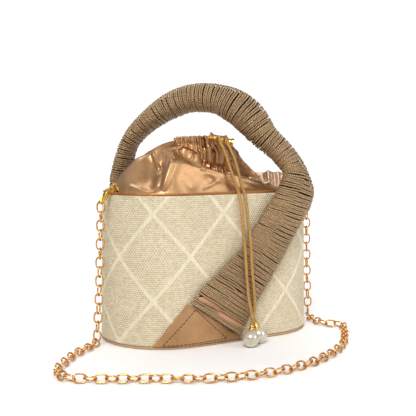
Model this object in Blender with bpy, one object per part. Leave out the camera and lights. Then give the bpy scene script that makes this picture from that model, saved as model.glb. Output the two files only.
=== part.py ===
"""Small oval evening bag: woven walls, gathered leather top, cord-wrapped handle and chain strap.

Units are metres. +X is the bag's right, the front faces -Y and +Z is up.
The origin is the centre of the base underside.
"""

import math

import bmesh
import bpy
from mathutils import Matrix, Vector

# Body: an oval with flat front and back and round ends
BAG_WIDTH = 0.190
END_RADIUS = 0.0528
STRAIGHT_HALF = BAG_WIDTH / 2 - END_RADIUS
WALL_TOP = 0.1237
FLARE_AT_BASE = 0.0008
DRAW_AT_RIM = -0.0010
END_STEPS = 14
SIDE_STEPS = 8
GAP = 0.0003

# Wall layers, from outside to inside
BASE_THICK = 0.0020
WEAVE_THICK = 0.0014
BOARD_THICK = 0.0012
LINING_THICK = 0.0008
BASE_BOARD_THICK = 0.0022
LINING_TOP = 0.1119
PIPING_RADIUS = 0.0009
PIPING_INSET = 0.0014

# Gathered leather top
LEATHER = 0.0010
NECK_LEFT = -0.0305
NECK_RIGHT_LOW = 0.0310
NECK_RIGHT_TOP = 0.0185
NECK_TAPER = (0.157, 0.1715)
NECK_HALF_Y = 0.0135
NECK_TOP = 0.1726
PLEAT_DEPTH = 0.0012
HEM_DROP = 0.0110
TUNNEL_WIDTH = 0.0042

# Drawcord, stop and pearls
CORD_RADIUS = 0.0013
LOOP_HEIGHT = 0.1660
STOP_CENTRE = Vector((0.0012, -0.0244, 0.1688))
STOP_HOLE_SPACING = 0.0060
STOP_HOLE_RADIUS = 0.0016
HEM_FRONT = -0.0131
HEM_HOLE_HEIGHT = 0.1678
PEARL_RADIUS = 0.0070
CAP_HEIGHT = 0.0036

# Handle: cord wrapped round a padded leather strap
WRAP_THICK = 0.0023
SECTION_STEPS = 16
HANDLE_STATIONS = 46

# Chain and its fittings
CHAIN_RADIUS = 0.0032
CHAIN_POINTS = 76
FITTING_TURN = math.asin(0.008 / END_RADIUS)
RING_WIRE = 0.0007
RING_PIVOT = Vector((END_RADIUS - 0.0051, 0, 0.1266))
RING_DEPTH = 0.0048
RING_WIDTH = 0.0090
RING_LEAN = math.radians(75)
CLASP_LENGTH = 0.0185
CLASP_THICK = 0.0030
CLASP_DROOP = math.radians(46)

MM = 0.001


def clear_scene():
    for item in list(bpy.data.objects):
        bpy.data.objects.remove(item, do_unlink=True)


def make_material(name, colour, roughness, metallic):
    material = bpy.data.materials.new(name)
    material.use_nodes = True
    shader = material.node_tree.nodes["Principled BSDF"]
    shader.inputs["Base Color"].default_value = (*colour, 1.0)
    shader.inputs["Roughness"].default_value = roughness
    shader.inputs["Metallic"].default_value = metallic
    return material


def add_object(name, bm, material, parent=None):
    """Turn a bmesh into a smooth-shaded object with its faces pointing out."""
    bmesh.ops.recalc_face_normals(bm, faces=bm.faces)
    mesh = bpy.data.meshes.new(name)
    bm.to_mesh(mesh)
    bm.free()
    mesh.shade_smooth()
    mesh.set_sharp_from_angle(angle=math.radians(40))
    item = bpy.data.objects.new(name, mesh)
    item.data.materials.append(material)
    item.parent = parent
    bpy.context.scene.collection.objects.link(item)
    return item


def add_cutter(name, bm, target, parent=None):
    """Cut a hidden shape out of the target."""
    bmesh.ops.recalc_face_normals(bm, faces=bm.faces)
    mesh = bpy.data.meshes.new(name)
    bm.to_mesh(mesh)
    bm.free()
    cutter = bpy.data.objects.new(name, mesh)
    cutter.hide_render = True
    cutter.display_type = "WIRE"
    cutter.parent = parent
    bpy.context.scene.collection.objects.link(cutter)
    cut = target.modifiers.new(name, "BOOLEAN")
    cut.operation = "DIFFERENCE"
    cut.solver = "EXACT"
    cut.object = cutter
    return cutter


def skin_rings(rings, closed):
    """Join rings of equal length with quads; a closed skin meets its own start, an open one is capped."""
    bm = bmesh.new()
    rows = [[bm.verts.new(point) for point in ring] for ring in rings]
    count = len(rows[0])
    pairs = list(zip(rows, rows[1:]))
    if closed:
        pairs.append((rows[-1], rows[0]))
    for lower, upper in pairs:
        for i in range(count):
            j = (i + 1) % count
            bm.faces.new((lower[i], lower[j], upper[j], upper[i]))
    if not closed:
        bm.faces.new(rows[0])
        bm.faces.new(rows[-1])
    return bm


def lerp(a, b, t):
    return a + (b - a) * t


def table_value(table, x):
    """Straight-line reading of a short table of (x, value) pairs."""
    if x <= table[0][0]:
        return table[0][1]
    for (x0, v0), (x1, v1) in zip(table, table[1:]):
        if x <= x1:
            return lerp(v0, v1, (x - x0) / (x1 - x0))
    return table[-1][1]


# The oval outline and what lies along it

def oval_samples():
    """Centre x and outward angle of each sample round the outline, from the right end anticlockwise."""
    samples = []
    half = END_STEPS // 2
    for i in range(half):
        samples.append((STRAIGHT_HALF, math.pi / 2 * i / half))
    for i in range(SIDE_STEPS):
        samples.append((lerp(STRAIGHT_HALF, -STRAIGHT_HALF, i / SIDE_STEPS), math.pi / 2))
    for i in range(END_STEPS):
        samples.append((-STRAIGHT_HALF, math.pi / 2 + math.pi * i / END_STEPS))
    for i in range(SIDE_STEPS):
        samples.append((lerp(-STRAIGHT_HALF, STRAIGHT_HALF, i / SIDE_STEPS), math.pi * 1.5))
    for i in range(half):
        samples.append((STRAIGHT_HALF, math.pi * 1.5 + math.pi / 2 * i / half))
    return samples


OVAL = oval_samples()


def wall_offset(z):
    """How far the woven wall stands outside the nominal oval: a slight flare towards the base."""
    return lerp(FLARE_AT_BASE, DRAW_AT_RIM, max(0.0, min(1.0, z / WALL_TOP)))


def oval_point(sample, offset, z):
    centre_x, angle = sample
    reach = END_RADIUS + offset
    return Vector((centre_x + reach * math.cos(angle), reach * math.sin(angle), z))


def oval_ring(offset, z):
    return [oval_point(sample, offset, z) for sample in OVAL]


def wall_ring(depth, z):
    """A ring at a depth inside the outer woven surface."""
    return oval_ring(wall_offset(z) - depth, z)


def on_wall(along, z, out):
    """A point on the front, by its distance along the wall from the centre line, its height and its stand-off."""
    reach = END_RADIUS + wall_offset(z) + out
    if abs(along) <= STRAIGHT_HALF:
        return Vector((along, -reach, z))
    side = math.copysign(1.0, along)
    angle = (abs(along) - STRAIGHT_HALF) / END_RADIUS
    return Vector((side * (STRAIGHT_HALF + reach * math.sin(angle)), -reach * math.cos(angle), z))


# Body shells

def build_base_cover(material):
    edge = FLARE_AT_BASE + 0.0003
    rings = [oval_ring(edge - 0.0010, 0.0), oval_ring(edge, 0.0007),
             oval_ring(edge, 0.0014), oval_ring(edge - 0.0006, BASE_THICK)]
    return add_object("base_cover", skin_rings(rings, closed=False), material)


def build_tube(name, material, outer_depth, thick, z_low, z_high, levels=2):
    heights = [lerp(z_low, z_high, i / (levels - 1)) for i in range(levels)]
    rings = [wall_ring(outer_depth, z) for z in heights]
    rings += [wall_ring(outer_depth + thick, z) for z in reversed(heights)]
    return add_object(name, skin_rings(rings, closed=True), material)


def build_body(materials):
    build_base_cover(materials["leather"])
    shell_low = BASE_THICK + GAP
    build_tube("woven_shell", materials["weave"], 0.0, WEAVE_THICK, shell_low, WALL_TOP)

    board_depth = WEAVE_THICK + GAP
    board_top = shell_low + BASE_BOARD_THICK
    rings = [wall_ring(board_depth, shell_low), wall_ring(board_depth, board_top)]
    add_object("base_board", skin_rings(rings, closed=False), materials["board"])
    build_tube("wall_board", materials["board"], board_depth, BOARD_THICK,
               board_top + GAP, WALL_TOP - 0.0012)

    lining_depth = board_depth + BOARD_THICK + GAP
    floor = board_top + GAP
    rings = [wall_ring(lining_depth, floor), wall_ring(lining_depth, LINING_TOP),
             wall_ring(lining_depth + LINING_THICK, LINING_TOP),
             wall_ring(lining_depth + LINING_THICK, floor + LINING_THICK)]
    add_object("lining", skin_rings(rings, closed=False), materials["lining"])

    centre = DRAW_AT_RIM - PIPING_INSET
    height = WALL_TOP + GAP + PIPING_RADIUS + 0.0001
    rings = []
    for k in range(6):
        turn = 2 * math.pi * k / 6
        rings.append(oval_ring(centre + PIPING_RADIUS * math.cos(turn), height + PIPING_RADIUS * math.sin(turn)))
    add_object("rim_piping", skin_rings(rings, closed=True), materials["leather"])


# Gathered leather top. Each profile lists (way from rim to neck, height) at one place round the oval.

POUCH_PROFILES = [
    (0, [(0, .1240), (.04, .1320), (.09, .1390), (.22, .1400), (.37, .1388), (.57, .1330), (.71, .1400), (.86, .1472),
         (1, .1570)]),
    (40, [(0, .1240), (.06, .1290), (.22, .1365), (.45, .1390), (.72, .1430), (1, .1530)]),
    (90, [(0, .1240), (.08, .1290), (.30, .1390), (.55, .1400), (.80, .1430), (1, .1500)]),
    (135, [(0, .1240), (.08, .1280), (.30, .1370), (.55, .1470), (.80, .1560), (1, .1620)]),
    (180, [(0, .1240), (.05, .1310), (.18, .1405), (.41, .1530), (.59, .1598), (.72, .1637), (.90, .1670), (1, .1680)]),
    (203, [(0, .1240), (.08, .1285), (.25, .1350), (.45, .1440), (.70, .1560), (1, .1640)]),
    (226, [(0, .1240), (.08, .1370), (.20, .1500), (.30, .1515), (.45, .1485), (.65, .1490), (.85, .1545), (1, .1600)]),
    (248, [(0, .1240), (.10, .1335), (.24, .1450), (.32, .1450), (.50, .1400), (.75, .1440), (1, .1520)]),
    (270, [(0, .1240), (.12, .1320), (.26, .1395), (.36, .1390), (.60, .1335), (.80, .1370), (1, .1450)]),
    (292, [(0, .1240), (.12, .1290), (.27, .1345), (.38, .1340), (.62, .1310), (.82, .1370), (1, .1450)]),
    (320, [(0, .1240), (.10, .1268), (.27, .1290), (.45, .1290), (.65, .1310), (.85, .1420), (1, .1530)]),
    (340, [(0, .1240), (.06, .1300), (.16, .1345), (.35, .1330), (.57, .1310), (.75, .1400), (1, .1560)]),
    (360, [(0, .1240), (.04, .1320), (.09, .1390), (.22, .1400), (.37, .1388), (.57, .1330), (.71, .1400), (.86, .1472),
           (1, .1570)]),
]
POUCH_STEPS = (0.04, 0.10, 0.18, 0.27, 0.36, 0.48, 0.60, 0.72, 0.86, 1.0)


def pouch_height(turn, way):
    for (t0, low), (t1, high) in zip(POUCH_PROFILES, POUCH_PROFILES[1:]):
        if turn <= t1:
            mix = (turn - t0) / (t1 - t0)
            mix = mix * mix * (3 - 2 * mix)
            return lerp(table_value(low, way), table_value(high, way), mix)
    return table_value(POUCH_PROFILES[-1][1], way)


def neck_point(turn, z, inward, pleat):
    """A point of the neck, which narrows from the right towards its top."""
    rise = max(0.0, min(1.0, (z - NECK_TAPER[0]) / (NECK_TAPER[1] - NECK_TAPER[0])))
    right = lerp(NECK_RIGHT_LOW, NECK_RIGHT_TOP, rise)
    half_x = (right - NECK_LEFT) / 2 - inward + pleat
    half_y = NECK_HALF_Y - inward + pleat
    return Vector(((right + NECK_LEFT) / 2 + half_x * math.cos(turn), half_y * math.sin(turn), z))


def gather_turns():
    """Angle round the neck that each outline sample is drawn to, by its share of the outline's length."""
    points = oval_ring(0.0, 0.0)
    steps = [(points[(i + 1) % len(points)] - points[i]).length for i in range(len(points))]
    total = sum(steps)
    turns = []
    walked = 0.0
    for step in steps:
        turns.append(2 * math.pi * walked / total)
        walked += step
    return turns


def tab_clearance(sample):
    """Extra inset of the leather where a ring tab stands behind it."""
    centre_x, angle = sample
    if abs(abs(centre_x) - STRAIGHT_HALF) > 1e-6:
        return 0.0
    home = -FITTING_TURN if centre_x > 0 else math.pi + FITTING_TURN
    away = math.atan2(math.sin(angle - home), math.cos(angle - home))
    return 0.0030 * math.exp(-(away / math.radians(20)) ** 2)


def build_pouch(material):
    turns = gather_turns()
    rings = []
    sewn_depth = 0.0046
    for z in (LINING_TOP + GAP + 0.0002, 0.1240):
        rings.append([oval_point(s, wall_offset(z) - sewn_depth - tab_clearance(s), z) for s in OVAL])
    rim = rings[-1]
    for way in POUCH_STEPS[:-1]:
        ring = []
        for base, turn in zip(rim, turns):
            drawn = neck_point(turn, 0.0, 0.0, 0.0)
            ring.append(Vector((lerp(base.x, drawn.x, way), lerp(base.y, drawn.y, way),
                                pouch_height(math.degrees(turn), way))))
        rings.append(ring)
    neck_low = [pouch_height(math.degrees(turn), 1.0) for turn in turns]
    for share, fold in ((0.15, 1.0), (1.0, 1.0)):
        ring = []
        for i, turn in enumerate(turns):
            pleat = PLEAT_DEPTH * fold * (i % 2)
            ring.append(neck_point(turn, lerp(neck_low[i], NECK_TOP - 0.0010, share), 0.0, pleat))
        rings.append(ring)
    rings.append([neck_point(t, NECK_TOP, 0.0012, PLEAT_DEPTH * (i % 2)) for i, t in enumerate(turns)])
    flap = 2 * LEATHER + TUNNEL_WIDTH
    rings.append([neck_point(t, NECK_TOP, flap - 0.0006, 0.0) for t in turns])
    rings.append([neck_point(t, NECK_TOP - 0.0010, flap, 0.0) for t in turns])
    rings.append([neck_point(t, NECK_TOP - HEM_DROP, flap, 0.0) for t in turns])

    bm = bmesh.new()
    rows = [[bm.verts.new(point) for point in ring] for ring in rings]
    for lower, upper in zip(rows, rows[1:]):
        for i in range(len(lower)):
            j = (i + 1) % len(lower)
            bm.faces.new((lower[i], lower[j], upper[j], upper[i]))
    pouch = add_object("pouch", bm, material)
    solid = pouch.modifiers.new("leather", "SOLIDIFY")
    solid.thickness = LEATHER
    solid.offset = -1.0
    return pouch


# Sweeps

def smooth_route(points, count):
    """Evenly spaced points on a smooth curve through the given ones."""
    fine = []
    ends = [points[0] * 2 - points[1]] + list(points) + [points[-1] * 2 - points[-2]]
    for p0, p1, p2, p3 in zip(ends, ends[1:], ends[2:], ends[3:]):
        for k in range(24):
            t = k / 24
            fine.append(0.5 * ((2 * p1) + (p2 - p0) * t + (2 * p0 - 5 * p1 + 4 * p2 - p3) * t ** 2
                               + (3 * p1 - p0 - 3 * p2 + p3) * t ** 3))
    fine.append(points[-1].copy())
    walked = [0.0]
    for a, b in zip(fine, fine[1:]):
        walked.append(walked[-1] + (b - a).length)
    route = []
    k = 0
    for i in range(count):
        target = walked[-1] * i / (count - 1)
        while k < len(walked) - 2 and walked[k + 1] < target:
            k += 1
        span = walked[k + 1] - walked[k]
        route.append(fine[k].lerp(fine[k + 1], (target - walked[k]) / span if span else 0.0))
    return route


def add_cord(name, points, radius, material):
    curve = bpy.data.curves.new(name, "CURVE")
    curve.dimensions = "3D"
    curve.bevel_depth = radius
    curve.bevel_resolution = 2
    curve.use_fill_caps = True
    curve.resolution_u = 1
    curve.render_resolution_u = 0
    spline = curve.splines.new("POLY")
    spline.points.add(len(points) - 1)
    for target, point in zip(spline.points, points):
        target.co = (*point, 1.0)
    cord = bpy.data.objects.new(name, curve)
    cord.data.materials.append(material)
    bpy.context.scene.collection.objects.link(cord)
    return cord


def sweep_loop(points, radius, sides, normal):
    """A closed wire along a flat loop; normal is the loop's own plane normal."""
    rings = []
    count = len(points)
    for i in range(count):
        tangent = (points[(i + 1) % count] - points[i - 1]).normalized()
        across = tangent.cross(normal).normalized()
        rings.append([points[i] + radius * (math.cos(a) * across + math.sin(a) * normal)
                      for a in (2 * math.pi * k / sides for k in range(sides))])
    return skin_rings(rings, closed=True)


def turned(profile, axis, centre, steps):
    """A solid of revolution; the profile lists (along axis, radius) and starts and ends on the axis."""
    side = axis.orthogonal().normalized()
    other = axis.cross(side).normalized()
    rings = []
    for along, radius in profile[1:-1]:
        rings.append([centre + axis * along + radius * (math.cos(a) * side + math.sin(a) * other)
                      for a in (2 * math.pi * k / steps for k in range(steps))])
    bm = skin_rings(rings, closed=False)
    bm.faces.ensure_lookup_table()
    caps = bm.faces[-2:]
    for face, along in zip(caps, (profile[0][0], profile[-1][0])):
        hub = bmesh.ops.poke(bm, faces=[face])["verts"][0]
        hub.co = centre + axis * along
    return bm


def cylinder(centre, axis, radius, length, steps=16):
    half = length / 2
    side = axis.orthogonal().normalized()
    other = axis.cross(side).normalized()
    rings = []
    for along in (-half, half):
        rings.append([centre + axis * along + radius * (math.cos(a) * side + math.sin(a) * other)
                      for a in (2 * math.pi * k / steps for k in range(steps))])
    return skin_rings(rings, closed=False)


# Drawcord, its stop and the pearls

STOP_HOLE_AXIS = Vector((-0.45, -0.88, 0.10)).normalized()


def stop_axis():
    """The barrel lies across its holes, its right end a little lower."""
    across = Vector((0.825, -0.50, -0.263))
    return (across - across.dot(STOP_HOLE_AXIS) * STOP_HOLE_AXIS).normalized()


def hole_centre(side):
    return STOP_CENTRE + stop_axis() * (side * STOP_HOLE_SPACING / 2)


def build_stop(material):
    axis = stop_axis()
    half = [(8.6, 0), (8.8, 2.2), (10.3, 2.9), (10.6, 3.5), (10.2, 3.9), (9.0, 3.7), (7.9, 2.9), (7.0, 2.75)]
    profile = [(-a, r) for a, r in half] + [(a, r) for a, r in reversed(half)]
    profile = [(a * MM, r * MM) for a, r in profile]
    bm = turned(profile, axis, Vector((0, 0, 0)), 16)
    stop = add_object("cord_stop", bm, material)
    stop.location = STOP_CENTRE
    for side in (-1, 1):
        bore = cylinder(hole_centre(side), STOP_HOLE_AXIS, STOP_HOLE_RADIUS, 0.020)
        add_cutter(f"stop_bore_{'left' if side < 0 else 'right'}", bore, stop)
    return stop


def hem_hole(side):
    """Where the cord leaves the hem, level with the tunnel behind the stop."""
    hole = hole_centre(side)
    run = (HEM_FRONT - hole.y) / STOP_HOLE_AXIS.y
    return Vector((hole.x + STOP_HOLE_AXIS.x * run, HEM_FRONT, HEM_HOLE_HEIGHT))


def pearl_axis(centre, knot):
    return (knot - centre).normalized()


FRONT_PEARL = Vector((-0.7, -74.9, 7.05)) * MM
REAR_PEARL = Vector((12.1, -67.6, 7.05)) * MM
FRONT_KNOT = Vector((5.0, -68.4, 20.5)) * MM
REAR_KNOT = Vector((8.8, -65.0, 21.0)) * MM

FRONT_TAIL_ROUTE = [(-7.3, -37.4, 166.4), (-5.2, -39.2, 161.0), (-3.5, -40.2, 155.7), (-2.1, -41.6, 149.7),
                    (-0.5, -43.8, 142.3), (0.2, -47.0, 135.4), (0.6, -50.6, 129.3), (0.6, -53.8, 124.4),
                    (1.3, -54.9, 120.0), (2.6, -55.2, 112.0), (3.4, -55.4, 103.2), (3.3, -56.2, 96.6),
                    (2.6, -58.4, 90.4), (1.2, -62.0, 84.2), (0.6, -64.0, 78.4), (0.9, -64.4, 70.0),
                    (1.8, -64.4, 59.0), (2.8, -64.3, 49.0), (4.0, -64.5, 38.0), (4.9, -65.4, 31.0),
                    (5.2, -66.7, 26.1)]
REAR_TAIL_ROUTE = [(-1.2, -39.0, 165.4), (0.9, -40.2, 160.6), (2.9, -41.3, 155.4), (4.5, -42.5, 149.7),
                   (5.5, -44.8, 142.4), (5.5, -48.2, 135.4), (5.3, -51.3, 130.3), (5.4, -54.2, 125.2),
                   (6.2, -55.3, 120.0), (7.3, -55.5, 112.5), (7.7, -56.6, 104.0), (6.9, -59.4, 97.4),
                   (5.9, -62.6, 91.2), (5.6, -64.3, 85.4), (6.1, -64.6, 78.0), (6.6, -64.5, 69.0),
                   (7.4, -64.5, 59.0), (8.7, -64.2, 49.0), (10.1, -63.8, 38.0), (10.6, -63.6, 30.6),
                   (10.1, -63.9, 25.6)]


def tail_route(side, middle, pearl, knot):
    """From inside the hem, straight through the stop, down over the front and into the pearl's cap."""
    hole = hole_centre(side)
    start = [hem_hole(side)]
    start += [hole + STOP_HOLE_AXIS * along for along in (-0.0040, -0.0015, 0.0015, 0.0045, 0.0090, 0.0130)]
    axis = pearl_axis(pearl, knot)
    end = [pearl + axis * (PEARL_RADIUS + GAP + CAP_HEIGHT + 0.006),
           pearl + axis * (PEARL_RADIUS + GAP + CAP_HEIGHT + GAP)]
    return start + [Vector(p) * MM for p in middle] + end


def build_cap(name, pearl, knot, material):
    axis = pearl_axis(pearl, knot)
    seat = PEARL_RADIUS + GAP
    profile = [(seat, 0), (seat, 0.0024), (seat + 0.0012, 0.0022), (seat + 0.0026, 0.0018),
               (seat + CAP_HEIGHT, 0.0017), (seat + CAP_HEIGHT, 0)]
    return add_object(name, turned(profile, axis, pearl, 12), material)


def build_pearl(name, centre, material):
    bm = bmesh.new()
    bmesh.ops.create_uvsphere(bm, u_segments=16, v_segments=10, radius=PEARL_RADIUS)
    pearl = add_object(name, bm, material)
    pearl.location = centre
    return pearl


def build_drawcord(materials, pouch):
    turns = [2 * math.pi * k / 28 for k in range(28)]
    inward = LEATHER + TUNNEL_WIDTH / 2
    loop = [neck_point(t, LOOP_HEIGHT, inward, 0.0) for t in turns]
    add_object("drawcord_loop", sweep_loop(loop, CORD_RADIUS, 6, Vector((0, 0, 1))), materials["cord"])
    level = Vector((STOP_HOLE_AXIS.x, STOP_HOLE_AXIS.y, 0)).normalized()
    for side in (-1, 1):
        add_cutter(f"hem_hole_{'left' if side < 0 else 'right'}",
                   cylinder(hem_hole(side), level, 0.0018, 0.0060, 12), pouch)
    build_stop(materials["gold"])
    front = tail_route(-1, FRONT_TAIL_ROUTE, FRONT_PEARL, FRONT_KNOT)
    rear = tail_route(1, REAR_TAIL_ROUTE, REAR_PEARL, REAR_KNOT)
    add_cord("front_tail", smooth_route(front, 34), CORD_RADIUS, materials["cord"])
    add_cord("rear_tail", smooth_route(rear, 34), CORD_RADIUS, materials["cord"])
    for name, centre, knot in (("front", FRONT_PEARL, FRONT_KNOT), ("rear", REAR_PEARL, REAR_KNOT)):
        build_pearl(f"{name}_pearl", centre, materials["pearl"])
        build_cap(f"{name}_pearl_cap", centre, knot, materials["gold"])


# Handle

def handle_controls():
    """Sections of the wrapped handle from the front end, over the top, to the back end.

    Each is a centre, a half-width vector, a half thickness and how square the section is.
    On the faces a section is given by the ends of one turn of the cord, (x, z) left and right.
    """
    turns = [((-47.0, 38.2), (0.8, 6.0), 3.6), ((-38.0, 47.7), (6.5, 16.5), 4.0),
             ((-19.5, 62.5), (18.5, 35.0), 4.3), ((3.0, 81.7), (35.8, 58.5), 4.5),
             ((14.5, 97.0), (48.8, 77.9), 5.0), ((24.8, 111.6), (61.0, 97.0), 5.8),
             ((34.0, 124.0), (69.8, 111.8), 7.0)]
    face = []
    for (x0, z0), (x1, z1), half in turns:
        stand_off = END_RADIUS / MM + wall_offset(z1 * MM) / MM + 0.5
        centre = Vector(((x0 + x1) / 2, -(stand_off + half), (z0 + z1) / 2))
        wide = Vector(((x1 - x0) / 2, 0, (z1 - z0) / 2))
        face.append((centre, wide, half, 2.7))
    rise = [
        ((57.5, -58.4, 131.0), (0.93, 0.10, -0.36), 17.6, 9.0, 2.3),
        ((56.3, -56.0, 142.0), (0.80, 0.56, -0.20), 17.6, 9.8, 2.1),
        ((51.7, -51.7, 151.3), (0.70, 0.71, -0.05), 17.8, 10.4, 2.0),
        ((46.9, -46.9, 159.2), (0.64, 0.77, 0.0), 17.6, 10.8, 2.0),
        ((41.8, -41.8, 165.8), (0.60, 0.80, 0.0), 17.2, 11.4, 2.0),
        ((36.6, -36.6, 172.5), (0.60, 0.80, 0.0), 16.6, 12.4, 2.0),
        ((31.8, -31.8, 181.0), (0.62, 0.78, 0.0), 16.0, 14.2, 2.0),
        ((26.0, -26.0, 190.1), (0.66, 0.75, 0.0), 15.8, 15.3, 2.0),
        ((17.6, -17.6, 198.7), (0.70, 0.71, 0.0), 16.0, 14.9, 2.0),
        ((8.2, -8.2, 204.0), (0.71, 0.71, 0.0), 16.6, 13.4, 2.0),
        ((-1.6, 1.6, 205.7), (0.71, 0.71, 0.0), 17.0, 12.9, 2.0),
        ((-11.3, 11.3, 204.7), (0.70, 0.71, 0.0), 17.2, 12.4, 2.0),
        ((-19.9, 19.9, 200.8), (0.68, 0.73, 0.0), 17.3, 12.0, 2.0),
        ((-28.0, 28.0, 194.8), (0.66, 0.75, 0.0), 17.5, 11.2, 2.0),
        ((-34.9, 34.9, 188.2), (0.64, 0.77, 0.0), 17.8, 10.2, 2.0),
        ((-41.2, 41.2, 181.1), (0.62, 0.78, 0.0), 18.2, 9.2, 2.0),
        ((-46.8, 46.8, 173.1), (0.62, 0.78, 0.0), 18.4, 8.5, 2.0),
        ((-50.6, 50.6, 165.2), (0.62, 0.78, 0.0), 18.5, 8.1, 2.0),
        ((-52.7, 52.7, 157.4), (0.64, 0.77, 0.0), 18.5, 8.1, 2.0),
        ((-53.9, 54.3, 149.3), (0.68, 0.73, 0.0), 18.5, 8.3, 2.0),
        ((-54.3, 56.5, 140.8), (0.74, 0.67, 0.05), 18.4, 8.6, 2.1),
        ((-53.0, 58.8, 131.0), (0.84, 0.50, 0.20), 18.2, 8.4, 2.3),
    ]
    arch = [(Vector(c), Vector(w).normalized() * a, b, p) for c, w, a, b, p in rise]
    half_turn = Matrix.Rotation(math.pi, 3, "Z")
    back = []
    for i, (centre, wide, half, power) in enumerate(face):
        shift = Vector((5.0 * i / (len(face) - 1), 0, 0))
        back.append((half_turn @ centre + shift, -(half_turn @ wide), half, power))
    sections = face + arch + list(reversed(back))
    return [(c * MM, w * MM, h * MM, p) for c, w, h, p in sections]


def handle_sections(count):
    """Evenly spaced sections on a smooth blend of the control sections."""
    controls = handle_controls()
    walked = [0.0]
    for (a, *_), (b, *_) in zip(controls, controls[1:]):
        walked.append(walked[-1] + (b - a).length)

    def value(kind, i):
        i = max(0, min(len(controls) - 1, i))
        return controls[i][kind]

    sections = []
    k = 0
    for n in range(count):
        target = walked[-1] * n / (count - 1)
        while k < len(walked) - 2 and walked[k + 1] < target:
            k += 1
        t = (target - walked[k]) / (walked[k + 1] - walked[k])
        blended = []
        for kind in range(4):
            p0, p1, p2, p3 = (value(kind, k + d) for d in (-1, 0, 1, 2))
            blended.append(0.5 * ((2 * p1) + (p2 - p0) * t + (2 * p0 - 5 * p1 + 4 * p2 - p3) * t ** 2
                                  + (3 * p1 - p0 - 3 * p2 + p3) * t ** 3))
        sections.append(blended)
    return sections


def section_ring(sections, i, inset):
    """One closed section, drawn in by the inset."""
    centre, wide, half, power = sections[i]
    ahead = sections[min(i + 1, len(sections) - 1)][0]
    behind = sections[max(i - 1, 0)][0]
    thick = (ahead - behind).cross(wide).normalized()
    reach = wide.length - inset
    side = wide.normalized()
    ring = []
    for k in range(SECTION_STEPS):
        a = 2 * math.pi * (k + 0.5) / SECTION_STEPS
        c, s = math.cos(a), math.sin(a)
        x = math.copysign(abs(c) ** (2 / power), c) * reach
        y = math.copysign(abs(s) ** (2 / power), s) * (half - inset)
        ring.append(centre + side * x + thick * y)
    return ring


def build_handle(materials):
    sections = handle_sections(HANDLE_STATIONS)
    count = len(sections)
    outer = [section_ring(sections, i, 0.0) for i in range(count)]
    inner = [section_ring(sections, i, WRAP_THICK) for i in range(count)]
    add_object("handle_wrap", skin_rings(outer + list(reversed(inner)), closed=True), materials["wrap"])
    core = [section_ring(sections, i, WRAP_THICK + GAP) for i in range(count)]
    add_object("handle_core", skin_rings(core, closed=False), materials["leather"])


def build_patch(name, back, material):
    """The flat end of the leather strap, sewn to the wall below the wrapped part."""
    left_foot, apex, right_foot, foot = -76.0, (-47.4, 37.0), 3.2, 2.7
    rows, columns = 9, 10
    out_low, out_high = 0.3 * MM, 1.7 * MM
    layers = []
    for out in (out_low, out_high):
        grid = []
        for r in range(rows):
            rise = r / (rows - 1)
            z = lerp(foot, apex[1] - 1.2, rise)
            share = (z - foot) / (apex[1] - foot)
            left = lerp(left_foot, apex[0], share)
            right = lerp(right_foot, apex[0], share)
            grid.append([on_wall(lerp(left, right, c / (columns - 1)) * MM, z * MM, out) for c in range(columns)])
        layers.append(grid)
    bm = bmesh.new()
    low, high = [[[bm.verts.new(p) for p in row] for row in grid] for grid in layers]
    for r in range(rows - 1):
        for c in range(columns - 1):
            bm.faces.new((low[r][c], low[r][c + 1], low[r + 1][c + 1], low[r + 1][c]))
            bm.faces.new((high[r][c], high[r + 1][c], high[r + 1][c + 1], high[r][c + 1]))
    border = [(0, c) for c in range(columns)] + [(r, columns - 1) for r in range(1, rows)]
    border += [(rows - 1, c) for c in range(columns - 2, -1, -1)] + [(r, 0) for r in range(rows - 2, 0, -1)]
    for (r0, c0), (r1, c1) in zip(border, border[1:] + border[:1]):
        bm.faces.new((low[r0][c0], low[r1][c1], high[r1][c1], high[r0][c0]))
    patch = add_object(name, bm, material)
    if back:
        patch.rotation_euler = (0, 0, math.pi)
    return patch


# Chain fittings at one end of the bag. Local X points out of the end, local Y along the rim.

def side_frame(name, turn, centre_x):
    frame = bpy.data.objects.new(name, None)
    frame.location = (centre_x, 0, 0)
    frame.rotation_euler = (0, 0, turn)
    bpy.context.scene.collection.objects.link(frame)
    return frame


def extrude_outline(outline, thick):
    """A flat outline in local X and Z, made into a plate centred on Y."""
    rings = [[Vector((x, y, z)) for x, z in outline] for y in (-thick / 2, thick / 2)]
    return skin_rings(rings, closed=False)


def arc(centre_x, centre_z, radius, start, end, steps):
    points = []
    for k in range(steps + 1):
        a = math.radians(lerp(start, end, k / steps))
        points.append((centre_x + radius * math.cos(a), centre_z + radius * math.sin(a)))
    return points


def build_tab(side, frame, material):
    """A folded leather tab that stands behind the piping and holds the ring's bar."""
    eye_x, eye_z = RING_PIVOT.x, RING_PIVOT.z
    outer, hole = 0.0019, RING_WIRE + 0.0003
    half = 0.00095
    strap_x = eye_x - 0.0004
    outline = [(strap_x - half, LINING_TOP + 0.0006), (strap_x + half, LINING_TOP + 0.0006)]
    outline += arc(eye_x, eye_z, outer, -60, 240, 12)
    tab = add_object(f"{side}_tab", extrude_outline(outline, 0.0050), material, frame)
    bore = cylinder(Vector((eye_x, 0, eye_z)), Vector((0, 1, 0)), hole, 0.008, 12)
    add_cutter(f"{side}_tab_bore", bore, tab, frame)
    return tab


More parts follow.
